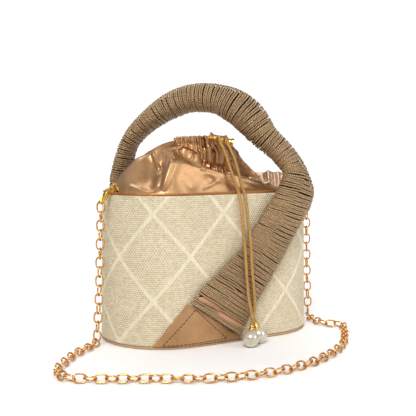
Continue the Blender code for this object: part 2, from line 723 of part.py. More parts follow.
def build_ring(side, frame, material):
    """A small D-ring: a straight bar in the tab and a rounded far side."""
    reach = Vector((math.cos(RING_LEAN), 0, math.sin(RING_LEAN)))
    along = Vector((0, 1, 0))
    half = RING_WIDTH / 2 - RING_WIRE
    corner = 0.0011
    path = []
    for sign_y, sign_r, start in ((1, 1, 0), (-1, 1, 90), (-1, -1, 180), (1, -1, 270)):
        mid_y = sign_y * (half - corner)
        mid_r = RING_DEPTH / 2 + sign_r * (RING_DEPTH / 2 - corner)
        for k in range(4):
            a = math.radians(start + 30 * k)
            path.append(along * (mid_y + corner * math.cos(a)) + reach * (mid_r + corner * math.sin(a)))
    ring = add_object(f"{side}_d_ring", sweep_loop(path, RING_WIRE, 8, reach.cross(along)), material, frame)
    ring.location = RING_PIVOT
    return ring


def clasp_home():
    return RING_PIVOT + Vector((math.cos(RING_LEAN), 0, math.sin(RING_LEAN))) * RING_DEPTH


GATE_PIVOT = (0.0096, 0.0009)
GATE_THICK = 0.0009
PIN_RADIUS = 0.0005


def build_clasp(side, frame, metal, steel):
    """A claw clasp: hook round the ring, slotted body, sprung gate on a pin and an eye for the chain."""
    inner, outer = 1.15, 2.1
    outline = [(1.0, inner)] + arc(0, 0, inner, 90, 270, 8)
    outline += [(6.4, -inner), (7.0, -0.6), (7.0, 1.6), (6.5, 2.3), (9.0, 2.6), (12.0, 2.2), (15.6, 1.3)]
    outline += arc(CLASP_LENGTH / MM, 0, 1.9, 135, -135, 9)
    outline += [(15.6, -1.3), (12.0, -2.0), (8.0, -2.25), (3.0, -2.15)]
    outline += arc(0, 0, outer, 270, 90, 9) + [(1.0, outer)]
    bm = extrude_outline([(x * MM, z * MM) for x, z in outline], CLASP_THICK)
    rims = [e for e in bm.edges if abs(e.verts[0].co.y - e.verts[1].co.y) < 1e-7]
    bmesh.ops.bevel(bm, geom=rims, offset=0.00035, segments=1, affect="EDGES", profile=0.5)
    clasp = add_object(f"{side}_clasp", bm, metal, frame)
    place_on_clasp(clasp)

    slot = bmesh.new()
    bmesh.ops.create_cube(slot, size=1.0)
    bmesh.ops.scale(slot, vec=(0.0072, 0.0015, 0.0060), verts=slot.verts)
    bmesh.ops.translate(slot, vec=(0.0096, 0, 0.0020), verts=slot.verts)
    place_on_clasp(add_cutter(f"{side}_gate_slot", slot, clasp, frame))
    pivot = Vector((GATE_PIVOT[0], 0, GATE_PIVOT[1]))
    across = Vector((0, 1, 0))
    place_on_clasp(add_cutter(f"{side}_pin_bore", cylinder(pivot, across, PIN_RADIUS + GAP, 0.006, 12), clasp, frame))
    eye = Vector((CLASP_LENGTH, 0, 0))
    place_on_clasp(add_cutter(f"{side}_eye_bore", cylinder(eye, across, 0.00105, 0.006, 12), clasp, frame))

    gate_outline = [(1.4, 1.25), (5.4, 1.10), (7.6, 0.15), (9.0, -0.45), (10.4, -0.25), (11.2, 0.9), (10.4, 2.1),
                    (8.7, 2.7), (8.1, 3.9), (6.8, 3.9), (6.2, 2.8), (1.4, 2.05)]
    shifted = [(x * MM - GATE_PIVOT[0], z * MM - GATE_PIVOT[1]) for x, z in gate_outline]
    gate = add_object(f"{side}_gate", extrude_outline(shifted, GATE_THICK), metal, frame)
    turn = Matrix.Rotation(CLASP_DROOP, 3, "Y")
    gate.rotation_euler = (0, CLASP_DROOP, 0)
    gate.location = clasp_home() + turn @ pivot
    bore = cylinder(Vector((0, 0, 0)), across, PIN_RADIUS + GAP, 0.006, 12)
    cutter = add_cutter(f"{side}_gate_bore", bore, gate, frame)
    cutter.rotation_euler = gate.rotation_euler
    cutter.location = gate.location

    pin = add_object(f"{side}_gate_pin", cylinder(pivot, across, PIN_RADIUS, CLASP_THICK, 12), steel, frame)
    place_on_clasp(pin)


def place_on_clasp(item):
    item.location = clasp_home()
    item.rotation_euler = (0, CLASP_DROOP, 0)


def eye_world(turn, centre_x):
    """The chain eye's place in the bag's own frame."""
    local = clasp_home() + Matrix.Rotation(CLASP_DROOP, 3, "Y") @ Vector((CLASP_LENGTH, 0, 0))
    return Matrix.Rotation(turn, 3, "Z") @ local + Vector((centre_x, 0, 0))


LEFT_TURN = math.pi + FITTING_TURN
RIGHT_TURN = -FITTING_TURN

# Chain from the left clasp down to the floor, round in front of the bag and up to the right clasp

CHAIN_FLOOR_ROUTE = [(-107.6, -8.0), (-116.0, -17.0), (-125.0, -25.0), (-133.5, -32.0), (-143.0, -42.0),
                     (-153.0, -55.0), (-161.5, -67.0), (-166.0, -79.5), (-163.5, -91.5), (-155.5, -99.5),
                     (-146.0, -105.5), (-136.0, -111.5), (-122.0, -119.0), (-108.0, -126.5), (-96.0, -134.0),
                     (-82.0, -141.5), (-66.0, -147.5), (-49.0, -150.8), (-33.0, -152.0), (-19.0, -151.2),
                     (-4.5, -148.4), (9.0, -145.0), (22.0, -139.6), (35.0, -133.0), (48.0, -125.3),
                     (60.0, -116.5), (72.0, -105.0), (84.0, -91.0), (96.0, -76.0), (105.5, -62.5),
                     (107.0, -55.5), (102.5, -50.0), (98.8, -43.0), (98.0, -33.0), (100.5, -22.5), (104.5, -13.0)]


def chain_route():
    left = eye_world(LEFT_TURN, -STRAIGHT_HALF)
    right = eye_world(RIGHT_TURN, STRAIGHT_HALF)
    below = 0.0026
    rest = CHAIN_RADIUS
    points = [left - Vector((0, 0, below)), left - Vector((0.0008, -0.0002, 0.030)),
              left - Vector((0.0020, -0.0006, 0.070)), Vector((-0.1066, -0.0080, 0.020)),
              Vector((-0.1072, -0.0076, 0.0075))]
    points += [Vector((x * MM, y * MM, rest)) for x, y in CHAIN_FLOOR_ROUTE]
    points += [Vector((0.1068, -0.0090, 0.0085)), Vector((0.1068, -0.0086, 0.022)),
               right + Vector((0.0020, 0.0006, -0.070)), right + Vector((0.0008, 0.0002, -0.030)),
               right - Vector((0, 0, below))]
    return points


def build_chain(materials):
    for side, turn, centre_x in (("left", LEFT_TURN, -STRAIGHT_HALF), ("right", RIGHT_TURN, STRAIGHT_HALF)):
        frame = side_frame(f"{side}_fittings", turn, centre_x)
        build_tab(side, frame, materials["leather"])
        build_ring(side, frame, materials["gold"])
        build_clasp(side, frame, materials["gold"], materials["steel"])
    route = smooth_route(chain_route(), CHAIN_POINTS)
    for point in route:
        point.z = max(point.z, CHAIN_RADIUS)
    add_cord("chain_strap", route, CHAIN_RADIUS, materials["chain"])


def main():
    clear_scene()
    materials = {
        "weave": make_material("cream_straw", (0.78, 0.71, 0.54), 0.85, 0.0),
        "leather": make_material("rose_gold_leather", (0.60, 0.33, 0.18), 0.38, 0.7),
        "board": make_material("grey_board", (0.45, 0.42, 0.38), 0.9, 0.0),
        "lining": make_material("beige_lining", (0.62, 0.50, 0.38), 0.9, 0.0),
        "wrap": make_material("bronze_cord", (0.34, 0.20, 0.10), 0.55, 0.5),
        "cord": make_material("gold_cord", (0.65, 0.42, 0.17), 0.35, 0.6),
        "gold": make_material("yellow_gold", (0.80, 0.52, 0.16), 0.18, 1.0),
        "chain": make_material("chain_gold", (0.78, 0.48, 0.20), 0.22, 1.0),
        "steel": make_material("pin_steel", (0.55, 0.50, 0.42), 0.3, 1.0),
        "pearl": make_material("ivory_pearl", (0.82, 0.76, 0.64), 0.2, 0.0),
    }
    build_body(materials)
    pouch = build_pouch(materials["leather"])
    build_drawcord(materials, pouch)
    build_handle(materials)
    build_patch("front_patch", False, materials["leather"])
    build_patch("back_patch", True, materials["leather"])
    build_chain(materials)


main()
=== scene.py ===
"""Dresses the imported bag: straw weave, cord-wound handle, gathered foil leather, pearls and chain links."""

import math

import bpy
import numpy as np
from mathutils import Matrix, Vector


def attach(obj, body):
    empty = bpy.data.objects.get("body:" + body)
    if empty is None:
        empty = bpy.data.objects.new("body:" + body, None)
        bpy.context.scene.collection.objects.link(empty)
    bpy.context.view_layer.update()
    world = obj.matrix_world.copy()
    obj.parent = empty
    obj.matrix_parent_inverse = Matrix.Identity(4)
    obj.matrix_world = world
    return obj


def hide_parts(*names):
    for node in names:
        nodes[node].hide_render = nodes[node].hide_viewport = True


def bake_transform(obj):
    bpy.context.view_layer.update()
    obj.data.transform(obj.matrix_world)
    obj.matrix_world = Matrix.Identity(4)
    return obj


MM = 0.001
rng = np.random.default_rng(7)

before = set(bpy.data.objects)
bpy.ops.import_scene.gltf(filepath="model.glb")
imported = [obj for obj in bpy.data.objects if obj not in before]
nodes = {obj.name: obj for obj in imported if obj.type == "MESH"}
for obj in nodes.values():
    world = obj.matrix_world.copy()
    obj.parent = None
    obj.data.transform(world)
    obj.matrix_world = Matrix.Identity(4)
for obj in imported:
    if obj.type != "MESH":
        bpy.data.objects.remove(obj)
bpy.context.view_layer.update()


# Arrays and meshes

def unit(v):
    return v / np.linalg.norm(v, axis=-1, keepdims=True)


def smoothstep(x, low, high):
    t = np.clip((x - low) / (high - low), 0, 1)
    return t * t * (3 - 2 * t)


def spline(values, x, knots):
    """Catmull-Rom reading of rows of values, given at knots, at places x."""
    values = np.asarray(values, float)
    knots = np.asarray(knots, float)
    k = np.clip(np.searchsorted(knots, x, side="right") - 1, 0, len(knots) - 2)
    t = ((x - knots[k]) / (knots[k + 1] - knots[k]))[:, None]
    last = len(knots) - 1
    p0, p1, p2, p3 = (values[np.clip(k + d, 0, last)] for d in (-1, 0, 1, 2))
    return 0.5 * (2 * p1 + (p2 - p0) * t + (2 * p0 - 5 * p1 + 4 * p2 - p3) * t ** 2
                  + (3 * p1 - p0 - 3 * p2 + p3) * t ** 3)


def lengths(path):
    """Distance walked along a path at each of its points."""
    steps = np.linalg.norm(np.diff(path, axis=0), axis=1)
    return np.concatenate([[0.0], np.cumsum(steps)])


def smooth_route(points, count):
    """Evenly spaced points on a smooth curve through the given ones."""
    points = np.asarray(points, float)
    ends = np.vstack([2 * points[0] - points[1], points, 2 * points[-1] - points[-2]])
    fine = spline(ends, np.linspace(1, len(points), (len(points) - 1) * 24 + 1), np.arange(len(ends)))
    walked = lengths(fine)
    even = np.linspace(0, walked[-1], count)
    return np.stack([np.interp(even, walked, fine[:, k]) for k in range(3)], 1)


def tube(path, radius, sides, normals, closed=False):
    """Rings round a path; each ring starts on the side its normal points to."""
    path = np.asarray(path, float)
    ahead = np.roll(path, -1, 0) - np.roll(path, 1, 0)
    if not closed:
        ahead[0] = path[1] - path[0]
        ahead[-1] = path[-1] - path[-2]
    tangent = unit(ahead)
    side = unit(np.cross(tangent, normals))
    out = np.cross(side, tangent)
    angle = 2 * math.pi * np.arange(sides) / sides
    radius = np.broadcast_to(np.asarray(radius, float), len(path))[:, None, None]
    ring = np.cos(angle)[None, :, None] * out[:, None] + np.sin(angle)[None, :, None] * side[:, None]
    return path[:, None] + radius * ring


def carried_normals(path):
    """Normals carried along a path with as little twist as possible."""
    tangents = unit(np.gradient(path, axis=0))
    normal = unit(np.cross(tangents[0], [0.3, 0.1, 0.9]))
    normals = []
    for tangent in tangents:
        normal = unit(normal - tangent * np.dot(normal, tangent))
        normals.append(normal)
    return np.array(normals)


def grid_piece(name, points, material, u=None, v=None, wrap_rows=False, wrap_columns=False, body="bag"):
    """One mesh over grids of points, shaped (grids, rows, columns, 3) or (rows, columns, 3).

    u and v are texture coordinates per row and per column, one longer where the grid wraps.
    """
    points = np.asarray(points, float)
    if points.ndim == 3:
        points = points[None]
    grids, rows, columns, _ = points.shape
    r, c = np.meshgrid(np.arange(rows if wrap_rows else rows - 1),
                       np.arange(columns if wrap_columns else columns - 1), indexing="ij")
    r, c = r.ravel(), c.ravel()
    corners = [(r, c), (r, c + 1), (r + 1, c + 1), (r + 1, c)]
    quads = np.stack([(a % rows) * columns + b % columns for a, b in corners], 1)
    faces = (quads[None] + (np.arange(grids) * rows * columns)[:, None, None]).reshape(-1, 4)
    mesh = bpy.data.meshes.new(name)
    mesh.from_pydata(points.reshape(-1, 3), [], faces)
    if u is not None:
        layer = mesh.uv_layers.new(name="Lay")
        u, v = np.asarray(u, float), np.asarray(v, float)
        pairs = np.stack([np.stack([u[a], v[b]], 1) for a, b in corners], 1)
        layer.data.foreach_set("uv", np.tile(pairs.reshape(-1), grids))
    mesh.shade_smooth()
    item = bpy.data.objects.new(name, mesh)
    item.data.materials.append(material)
    bpy.context.scene.collection.objects.link(item)
    if body:
        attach(item, body)
    return item


# Materials

class Value:
    """A number in a material's nodes; arithmetic on it adds Math nodes."""

    def __init__(self, look, socket):
        self.look, self.socket = look, socket

    def do(self, operation, *others):
        return self.look.math(operation, self, *others)

    def __add__(self, other):
        return self.do("ADD", other)

    def __sub__(self, other):
        return self.do("SUBTRACT", other)

    def __mul__(self, other):
        return self.do("MULTIPLY", other)

    def __truediv__(self, other):
        return self.do("DIVIDE", other)

    def floor(self):
        return self.do("FLOOR")

    def fract(self):
        return self.do("FRACT")

    def clamped(self):
        value = self.do("ADD", 0.0)
        value.socket.node.use_clamp = True
        return value


class Look:
    """A material on the Principled shader, with short calls for the nodes behind it."""

    def __init__(self, name, colour, roughness, metallic=0.0, **more):
        self.material = bpy.data.materials.new(name)
        self.material.use_nodes = True
        self.tree = self.material.node_tree
        self.shader = self.tree.nodes["Principled BSDF"]
        self.set("Base Color", (*colour, 1.0))
        self.set("Roughness", roughness)
        self.set("Metallic", metallic)
        for key, value in more.items():
            self.set(key.replace("_", " "), value)

    def set(self, key, value):
        socket = self.shader.inputs[key]
        if isinstance(value, Value):
            self.tree.links.new(value.socket, socket)
        else:
            socket.default_value = value

    def node(self, kind, output, settings=(), **inputs):
        made = self.tree.nodes.new(kind)
        for key, value in dict(settings).items():
            setattr(made, key, value)
        for key, value in inputs.items():
            socket = made.inputs[key.replace("_", " ")]
            if isinstance(value, Value):
                self.tree.links.new(value.socket, socket)
            else:
                socket.default_value = value
        return Value(self, made.outputs[output])

    def math(self, operation, *values):
        made = self.tree.nodes.new("ShaderNodeMath")
        made.operation = operation
        for socket, value in zip(made.inputs, values):
            if isinstance(value, Value):
                self.tree.links.new(value.socket, socket)
            else:
                socket.default_value = value
        return Value(self, made.outputs[0])

    def place(self):
        return self.node("ShaderNodeTexCoord", "Object")

    def lay(self):
        """The two texture coordinates that the mesh carries."""
        split = self.tree.nodes.new("ShaderNodeSeparateXYZ")
        self.tree.links.new(self.node("ShaderNodeTexCoord", "UV").socket, split.inputs[0])
        return Value(self, split.outputs[0]), Value(self, split.outputs[1])

    def noise(self, scale, detail=2.0, rough=0.5, at=None, stretch=None):
        at = at or self.place()
        if stretch:
            at = self.node("ShaderNodeVectorMath", 0, {"operation": "MULTIPLY"})
            self.tree.links.new(self.place().socket, at.socket.node.inputs[0])
            at.socket.node.inputs[1].default_value = stretch
        return self.node("ShaderNodeTexNoise", "Fac", Vector=at, Scale=scale, Detail=detail, Roughness=rough)

    def cells(self, scale, output="Distance"):
        return self.node("ShaderNodeTexVoronoi", output, Vector=self.place(), Scale=scale)

    def chance(self, a, b=0.0):
        """A steady random number for each pair of whole numbers."""
        joined = self.tree.nodes.new("ShaderNodeCombineXYZ")
        for socket, value in zip(joined.inputs, (a, b)):
            if isinstance(value, Value):
                self.tree.links.new(value.socket, socket)
            else:
                socket.default_value = value
        return self.node("ShaderNodeTexWhiteNoise", "Value", {"noise_dimensions": "2D"}, Vector=Value(self, joined.outputs[0]))

    def ramp(self, factor, *stops):
        made = self.tree.nodes.new("ShaderNodeValToRGB")
        self.tree.links.new(factor.socket, made.inputs[0])
        elements = made.color_ramp.elements
        while len(elements) < len(stops):
            elements.new(0.5)
        for element, (place, colour) in zip(elements, stops):
            element.position = place
            element.color = (*colour, 1.0)
        return Value(self, made.outputs[0])

    def mix(self, factor, first, second):
        made = self.tree.nodes.new("ShaderNodeMix")
        made.data_type = "RGBA"
        for socket, value in ((made.inputs[0], factor), (made.inputs[6], first), (made.inputs[7], second)):
            if isinstance(value, Value):
                self.tree.links.new(value.socket, socket)
            else:
                socket.default_value = value if isinstance(value, float) else (*value, 1.0)
        return Value(self, made.outputs[2])

    def bump(self, height, distance, strength=1.0, under=None):
        made = self.tree.nodes.new("ShaderNodeBump")
        made.inputs["Distance"].default_value = distance
        made.inputs["Strength"].default_value = strength
        self.tree.links.new(height.socket, made.inputs["Height"])
        if under:
            self.tree.links.new(under.socket, made.inputs["Normal"])
        result = Value(self, made.outputs[0])
        self.set("Normal", result)
        return result


WEAVE_ACROSS = 2.4
WEAVE_UP = 1.65
FLOAT_ACROSS = 1.2
FLOAT_LONG = 4.8
DIAMOND_CENTRE = (-75.4, 73.9)
DIAMOND_HALF = (31.29, 35.0)


def straw_look():
    """Flat straw strips over and under each other, with rows of long upright floats in a diamond lattice."""
    look = Look("cream_straw", (0.70, 0.62, 0.46), 0.6, Specular_IOR_Level=0.35)
    up, across = look.lay()
    row_place = up / WEAVE_UP
    row = row_place.floor()
    y = row_place.fract() * 2.0 - 1.0
    lap = across / WEAVE_ACROSS + (row / 2.0).fract()
    rib = (y * y * -0.92 + 1.0).do("SQRT")
    brick = rib * ((lap * 6.28319).do("COSINE") * 0.29 + 0.71)

    column = (across / FLOAT_ACROSS).floor()
    x = (across / FLOAT_ACROSS).fract() * 2.0 - 1.0
    middle = (column + 0.5) * FLOAT_ACROSS
    lean = (middle - DIAMOND_CENTRE[0]) / DIAMOND_HALF[0]
    rise = (up - DIAMOND_CENTRE[1]) / DIAMOND_HALF[1]
    near = None
    for sign in (1.0, -1.0):
        place = ((lean + rise * sign) / 2.0).fract()
        off = (place - 0.5).do("ABSOLUTE") * 2.0 * DIAMOND_HALF[1]
        near = off if near is None else near.do("MINIMUM", off)
    floats = near.do("LESS_THAN", FLOAT_LONG / 2)
    upright = (x * x * -0.9 + 1.0).do("SQRT") * 0.75 + 0.35
    height = brick + (upright - brick) * floats

    strip = look.chance(lap.floor(), row) + (look.chance(column, 3.0) - look.chance(lap.floor(), row)) * floats
    fibre = look.noise(1100.0, 3.0, 0.65)
    cloud = look.noise(30.0, 3.0, 0.5)
    # The colour follows the relief height as well as each strip's own random tone: painted shade where the weave sits
    # low and painted light on the raised strips and floats.
    tone = look.ramp(height * 0.62 + strip * 0.20 + fibre * 0.22 + cloud * 0.16 - 0.12,
                     (0.06, (0.30, 0.225, 0.125)), (0.36, (0.53, 0.445, 0.29)), (0.62, (0.68, 0.595, 0.43)),
                     (0.92, (0.80, 0.725, 0.565)))
    look.set("Base Color", tone)
    look.set("Roughness", strip * 0.2 + 0.5)
    look.bump(height + fibre * 0.22 + strip * 0.10, 0.45 * MM, 0.9)
    return look.material


def foil_look(name, colour, rough, grain=1.0):
    """Leather with a thin metallic foil: fine grain, small creases and faint worn patches."""
    look = Look(name, colour, rough, 0.85, Coat_Weight=0.12, Coat_Roughness=0.3)
    blotch = look.noise(55.0, 4.0, 0.6)
    warm = tuple(c * k for c, k in zip(colour, (0.72, 0.64, 0.56)))
    bright = tuple(min(1.0, c * k) for c, k in zip(colour, (1.22, 1.26, 1.3)))
    fine = look.cells(1500.0)
    tone = look.ramp(blotch * 0.7 + fine * 0.45, (0.25, warm), (0.52, colour), (0.85, bright))
    look.set("Base Color", tone)
    look.set("Roughness", blotch * 0.22 + (rough - 0.08))
    creases = look.noise(260.0, 4.0, 0.65)
    under = look.bump(creases, 0.35 * MM * grain, 0.35)
    look.bump(fine, 0.12 * MM * grain, 0.5, under)
    return look.material


def rope_look(name, dark, middle, bright, lay_length, plies, metal):
    """Twisted cord; the mesh carries millimetres along it and turns round it."""
    look = Look(name, middle, 0.5, metal)
    along, around = look.lay()
    turn = along / lay_length + around
    strand = (turn * float(plies)).fract() * 2.0 - 1.0
    bulge = (strand * strand) * -1.0 + 1.0
    fibre = look.noise(1500.0, 2.0, 0.7)
    thread = ((along / 0.42 - around * 2.0).fract() * 2.0 - 1.0).do("ABSOLUTE")
    glint = look.chance((along / 0.5).floor(), (around * 7.0).floor())
    # The colour follows each ply's bulge: painted shade in the grooves between plies and a painted lighter top on each
    # ply.
    tone = look.ramp(bulge * 0.55 + fibre * 0.35 + thread * 0.12, (0.12, dark), (0.55, middle), (0.95, bright))
    # spark pushes random spots on the ply tops to the bright colour: painted glints.
    spark = glint.do("GREATER_THAN", 0.86) * bulge
    look.set("Base Color", look.mix(spark * 0.75, tone, bright))
    look.set("Roughness", spark * -0.22 + 0.52)
    under = look.bump(bulge, 0.5 * MM, 0.9)
    look.bump(thread + fibre, 0.10 * MM, 0.6, under)
    return look.material


def metal_look(name, colour, rough):
    look = Look(name, colour, rough, 1.0)
    wear = look.noise(220.0, 4.0, 0.6)
    look.set("Base Color", look.mix(wear * 0.35, colour, tuple(c * 0.72 for c in colour)))
    look.set("Roughness", wear * 0.14 + (rough - 0.04))
    look.bump(wear, 0.05 * MM, 0.4)
    return look.material


def pearl_look():
    look = Look("ivory_pearl", (0.60, 0.56, 0.44), 0.24, 0.35, Coat_Weight=1.0, Coat_Roughness=0.05)
    veil = look.noise(70.0, 3.0, 0.5)
    look.set("Base Color", look.ramp(veil, (0.3, (0.50, 0.46, 0.35)), (0.7, (0.70, 0.66, 0.53))))
    look.bump(look.noise(420.0), 0.04 * MM, 0.3)
    return look.material


def cloth_look(name, colour):
    look = Look(name, colour, 0.9, Sheen_Weight=0.2)
    thread = look.noise(900.0, 2.0, 0.5)
    look.set("Base Color", look.mix(thread, tuple(c * 0.8 for c in colour), colour))
    look.bump(thread, 0.15 * MM, 0.5)
    return look.material


STRAW = straw_look()
FOIL = foil_look("rose_gold_foil", (0.47, 0.265, 0.125), 0.33)
EDGE = foil_look("rose_gold_edge", (0.42, 0.17, 0.05), 0.42, 0.6)
SOLE = foil_look("pale_sole", (0.56, 0.38, 0.24), 0.6, 0.6)
ROPE = rope_look("bronze_cord", (0.040, 0.016, 0.005), (0.285, 0.155, 0.062), (0.80, 0.60, 0.36), 3.0, 2, 0.45)
CORD = rope_look("gold_cord", (0.24, 0.10, 0.018), (0.56, 0.31, 0.085), (0.88, 0.60, 0.25), 6.0, 6, 0.85)
GOLD = metal_look("yellow_gold", (0.80, 0.50, 0.13), 0.16)
CHAIN = metal_look("chain_gold", (0.74, 0.39, 0.13), 0.18)
STEEL = metal_look("pin_steel", (0.60, 0.52, 0.38), 0.3)
PEARL = pearl_look()
LINING = cloth_look("beige_lining", (0.50, 0.38, 0.26))
BOARD = cloth_look("grey_board", (0.40, 0.37, 0.32))
THREAD = cloth_look("brown_thread", (0.10, 0.045, 0.02))


def dress(material, *names):
    """Give CAD nodes a finished material."""
    for name in names:
        for k in range(max(1, len(nodes[name].material_slots))):
            nodes[name].material_slots[k].material = material


dress(EDGE, "rim_piping")
dress(SOLE, "base_cover")
dress(FOIL, "front_patch", "back_patch", "left_tab", "right_tab")
dress(BOARD, "base_board", "wall_board")
dress(LINING, "lining")
dress(CORD, "drawcord_loop")
dress(GOLD, "cord_stop", "left_d_ring", "right_d_ring", "left_clasp", "right_clasp", "left_gate", "right_gate")
dress(STEEL, "left_gate_pin", "right_gate_pin")
dress(GOLD, "front_pearl_cap", "rear_pearl_cap")


# Camera, floor and light

def add_camera():
    data = bpy.data.cameras.new("camera")
    data.sensor_width = 36.0
    data.lens = 36.0 * 800 / 416
    data.clip_start = 0.01
    data.clip_end = 20.0
    camera = bpy.data.objects.new("camera", data)
    camera.location = (-0.3517, -0.6129, 0.1642)
    camera.rotation_euler = Vector((0.4986, 0.8633, -0.0784)).to_track_quat("-Z", "Y").to_euler()
    bpy.context.scene.collection.objects.link(camera)
    bpy.context.scene.camera = camera


def add_floor():
    mesh = bpy.data.meshes.new("floor")
    size = 6.0
    mesh.from_pydata([(-size, -size, 0), (size, -size, 0), (size, size, 0), (-size, size, 0)], [], [(0, 1, 2, 3)])
    floor = bpy.data.objects.new("floor", mesh)
    floor.location.z = -0.0002
    look = Look("pale_floor", (0.93, 0.93, 0.93), 0.9, Specular_IOR_Level=0.1)
    floor.data.materials.append(look.material)
    bpy.context.scene.collection.objects.link(floor)


def add_sun(name, place, spread, power, colour=(1.0, 1.0, 1.0)):
    """A far soft light that shines from a place towards the bag."""
    data = bpy.data.lights.new(name, "SUN")
    data.angle = math.radians(spread)
    data.energy = power
    data.color = colour
    lamp = bpy.data.objects.new(name, data)
    lamp.rotation_euler = (-Vector(place)).to_track_quat("-Z", "Y").to_euler()
    bpy.context.scene.collection.objects.link(lamp)


def add_light():
    """A white studio: the room's own glow is dimmer low down, which gives the metals their darks."""
    world = bpy.data.worlds.new("studio")
    world.use_nodes = True
    tree = world.node_tree
    glow = tree.nodes["Background"]
    backdrop = tree.nodes.new("ShaderNodeBackground")
    backdrop.inputs["Color"].default_value = (1.0, 1.0, 1.0, 1.0)
    backdrop.inputs["Strength"].default_value = 1.05
    split = tree.nodes.new("ShaderNodeSeparateXYZ")
    ramp = tree.nodes.new("ShaderNodeValToRGB")
    tree.links.new(tree.nodes.new("ShaderNodeTexCoord").outputs["Generated"], split.inputs[0])
    tree.links.new(split.outputs[2], ramp.inputs[0])
    stops = ((0.0, 0.16), (0.16, 0.20), (0.45, 0.75), (0.75, 1.0), (1.0, 0.8))
    elements = ramp.color_ramp.elements
    while len(elements) < len(stops):
        elements.new(0.5)
    for element, (place, grey) in zip(elements, stops):
        element.position = place
        element.color = (grey, grey, grey, 1.0)
    tree.links.new(ramp.outputs[0], glow.inputs["Color"])
    glow.inputs["Strength"].default_value = 0.62
    mix = tree.nodes.new("ShaderNodeMixShader")
    tree.links.new(tree.nodes.new("ShaderNodeLightPath").outputs["Is Camera Ray"], mix.inputs[0])
    tree.links.new(glow.outputs[0], mix.inputs[1])
    tree.links.new(backdrop.outputs[0], mix.inputs[2])
    tree.links.new(mix.outputs[0], tree.nodes["World Output"].inputs["Surface"])
    bpy.context.scene.world = world
    add_sun("key", (-0.8, -1.0, 1.1), 28.0, 2.1, (1.0, 0.98, 0.95))
    add_sun("side", (0.9, -1.2, 0.6), 35.0, 0.8)
    add_sun("back", (0.5, 1.0, 1.3), 40.0, 0.9)
    bpy.context.scene.view_settings.view_transform = "Standard"


add_camera()
add_floor()
add_light()


# Woven wall

END_RADIUS = 0.0528
STRAIGHT_HALF = 0.0422
WALL_TOP = 0.1237


def wall_offset(z):
    return np.interp(z, (0.0, WALL_TOP), (0.0008, -0.0010))


def on_wall(along, z, out):
    """Points on the wall, by distance along it from the front's centre line, height and stand-off."""
    along, z, out = np.broadcast_arrays(np.asarray(along, float), z, out)
    half_turn = 2 * STRAIGHT_HALF + math.pi * END_RADIUS
    lap = np.mod(along + STRAIGHT_HALF, 2 * half_turn)
    back = lap >= half_turn
    lap = np.where(back, lap - half_turn, lap)
    reach = END_RADIUS + wall_offset(z) + out
    angle = np.clip((lap - 2 * STRAIGHT_HALF) / END_RADIUS, 0, math.pi)
    x = np.minimum(lap, 2 * STRAIGHT_HALF) - STRAIGHT_HALF + reach * np.sin(angle)
    y = -reach * np.cos(angle)
    flip = np.where(back, -1.0, 1.0)
    return np.stack([x * flip, y * flip, z], -1)


def strip_heights(across, up):
    """How far the straw stands out, from 0 to 1, at millimetres across and up the wall."""
    row = np.floor(up / WEAVE_UP)
    y = (up / WEAVE_UP - row) * 2 - 1
    lap = across / WEAVE_ACROSS + 0.5 * np.mod(row, 2)
    rib = np.sqrt(np.clip(1 - 0.92 * y * y, 0, 1))
    brick = rib * (0.42 + 0.58 * (0.5 + 0.5 * np.cos(2 * math.pi * lap)))
    column = np.floor(across / FLOAT_ACROSS)
    x = (across / FLOAT_ACROSS - column) * 2 - 1
    middle = (column + 0.5) * FLOAT_ACROSS
    upright = np.sqrt(np.clip(1 - 0.9 * x * x, 0, 1))
    height = brick
    for sign in (1, -1):
        first = (middle - DIAMOND_CENTRE[0]) / DIAMOND_HALF[0]
        line = DIAMOND_CENTRE[1] + sign * DIAMOND_HALF[1] * (1 + 2 * np.round((first - 1) / 2) - first)
        for shift in (-2, 0, 2):
            off = np.abs(up - line - shift * DIAMOND_HALF[1])
            reach = FLOAT_LONG / 2 * (1 + 0.25 * np.sin(column * 2.4))
            float_share = 1 - smoothstep(off, reach - 0.5, reach)
            height = height * (1 - float_share) + (0.35 + 0.75 * upright) * float_share
    return height


def build_wall():
    """The straw in relief, in one piece for each half of the oval."""
    around = 4 * STRAIGHT_HALF + 2 * math.pi * END_RADIUS
    strips = round(around / MM / WEAVE_ACROSS)
    steps = strips * 2
    scale = around / MM / (strips * WEAVE_ACROSS)
    rows = int((WALL_TOP - 0.0030) / MM / WEAVE_UP * 3)
    z = np.concatenate([[0.0023, 0.0024], 0.0026 + np.arange(rows) * WEAVE_UP * MM / 3,
                        [WALL_TOP - 0.0002, WALL_TOP]])
    for name, first in (("front_weave", -strips), ("back_weave", strips)):
        # Columns run from the left end over the front, then from the right end over the back
        across = (first + np.arange(steps + 1)) * WEAVE_ACROSS / 4
        high = strip_heights(across[None], z[:, None] / MM)
        out = -0.62 * MM + 0.85 * MM * high
        out[:2] = [[-1.2 * MM], [-0.7 * MM]]
        out[-2:] = [[-0.5 * MM], [-1.2 * MM]]
        points = on_wall(across[None] * scale * MM, z[:, None], out)
        grid_piece(name, points, STRAW, z / MM, across)
    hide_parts("woven_shell")
    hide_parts("woven_shell")


build_wall()


# Handle

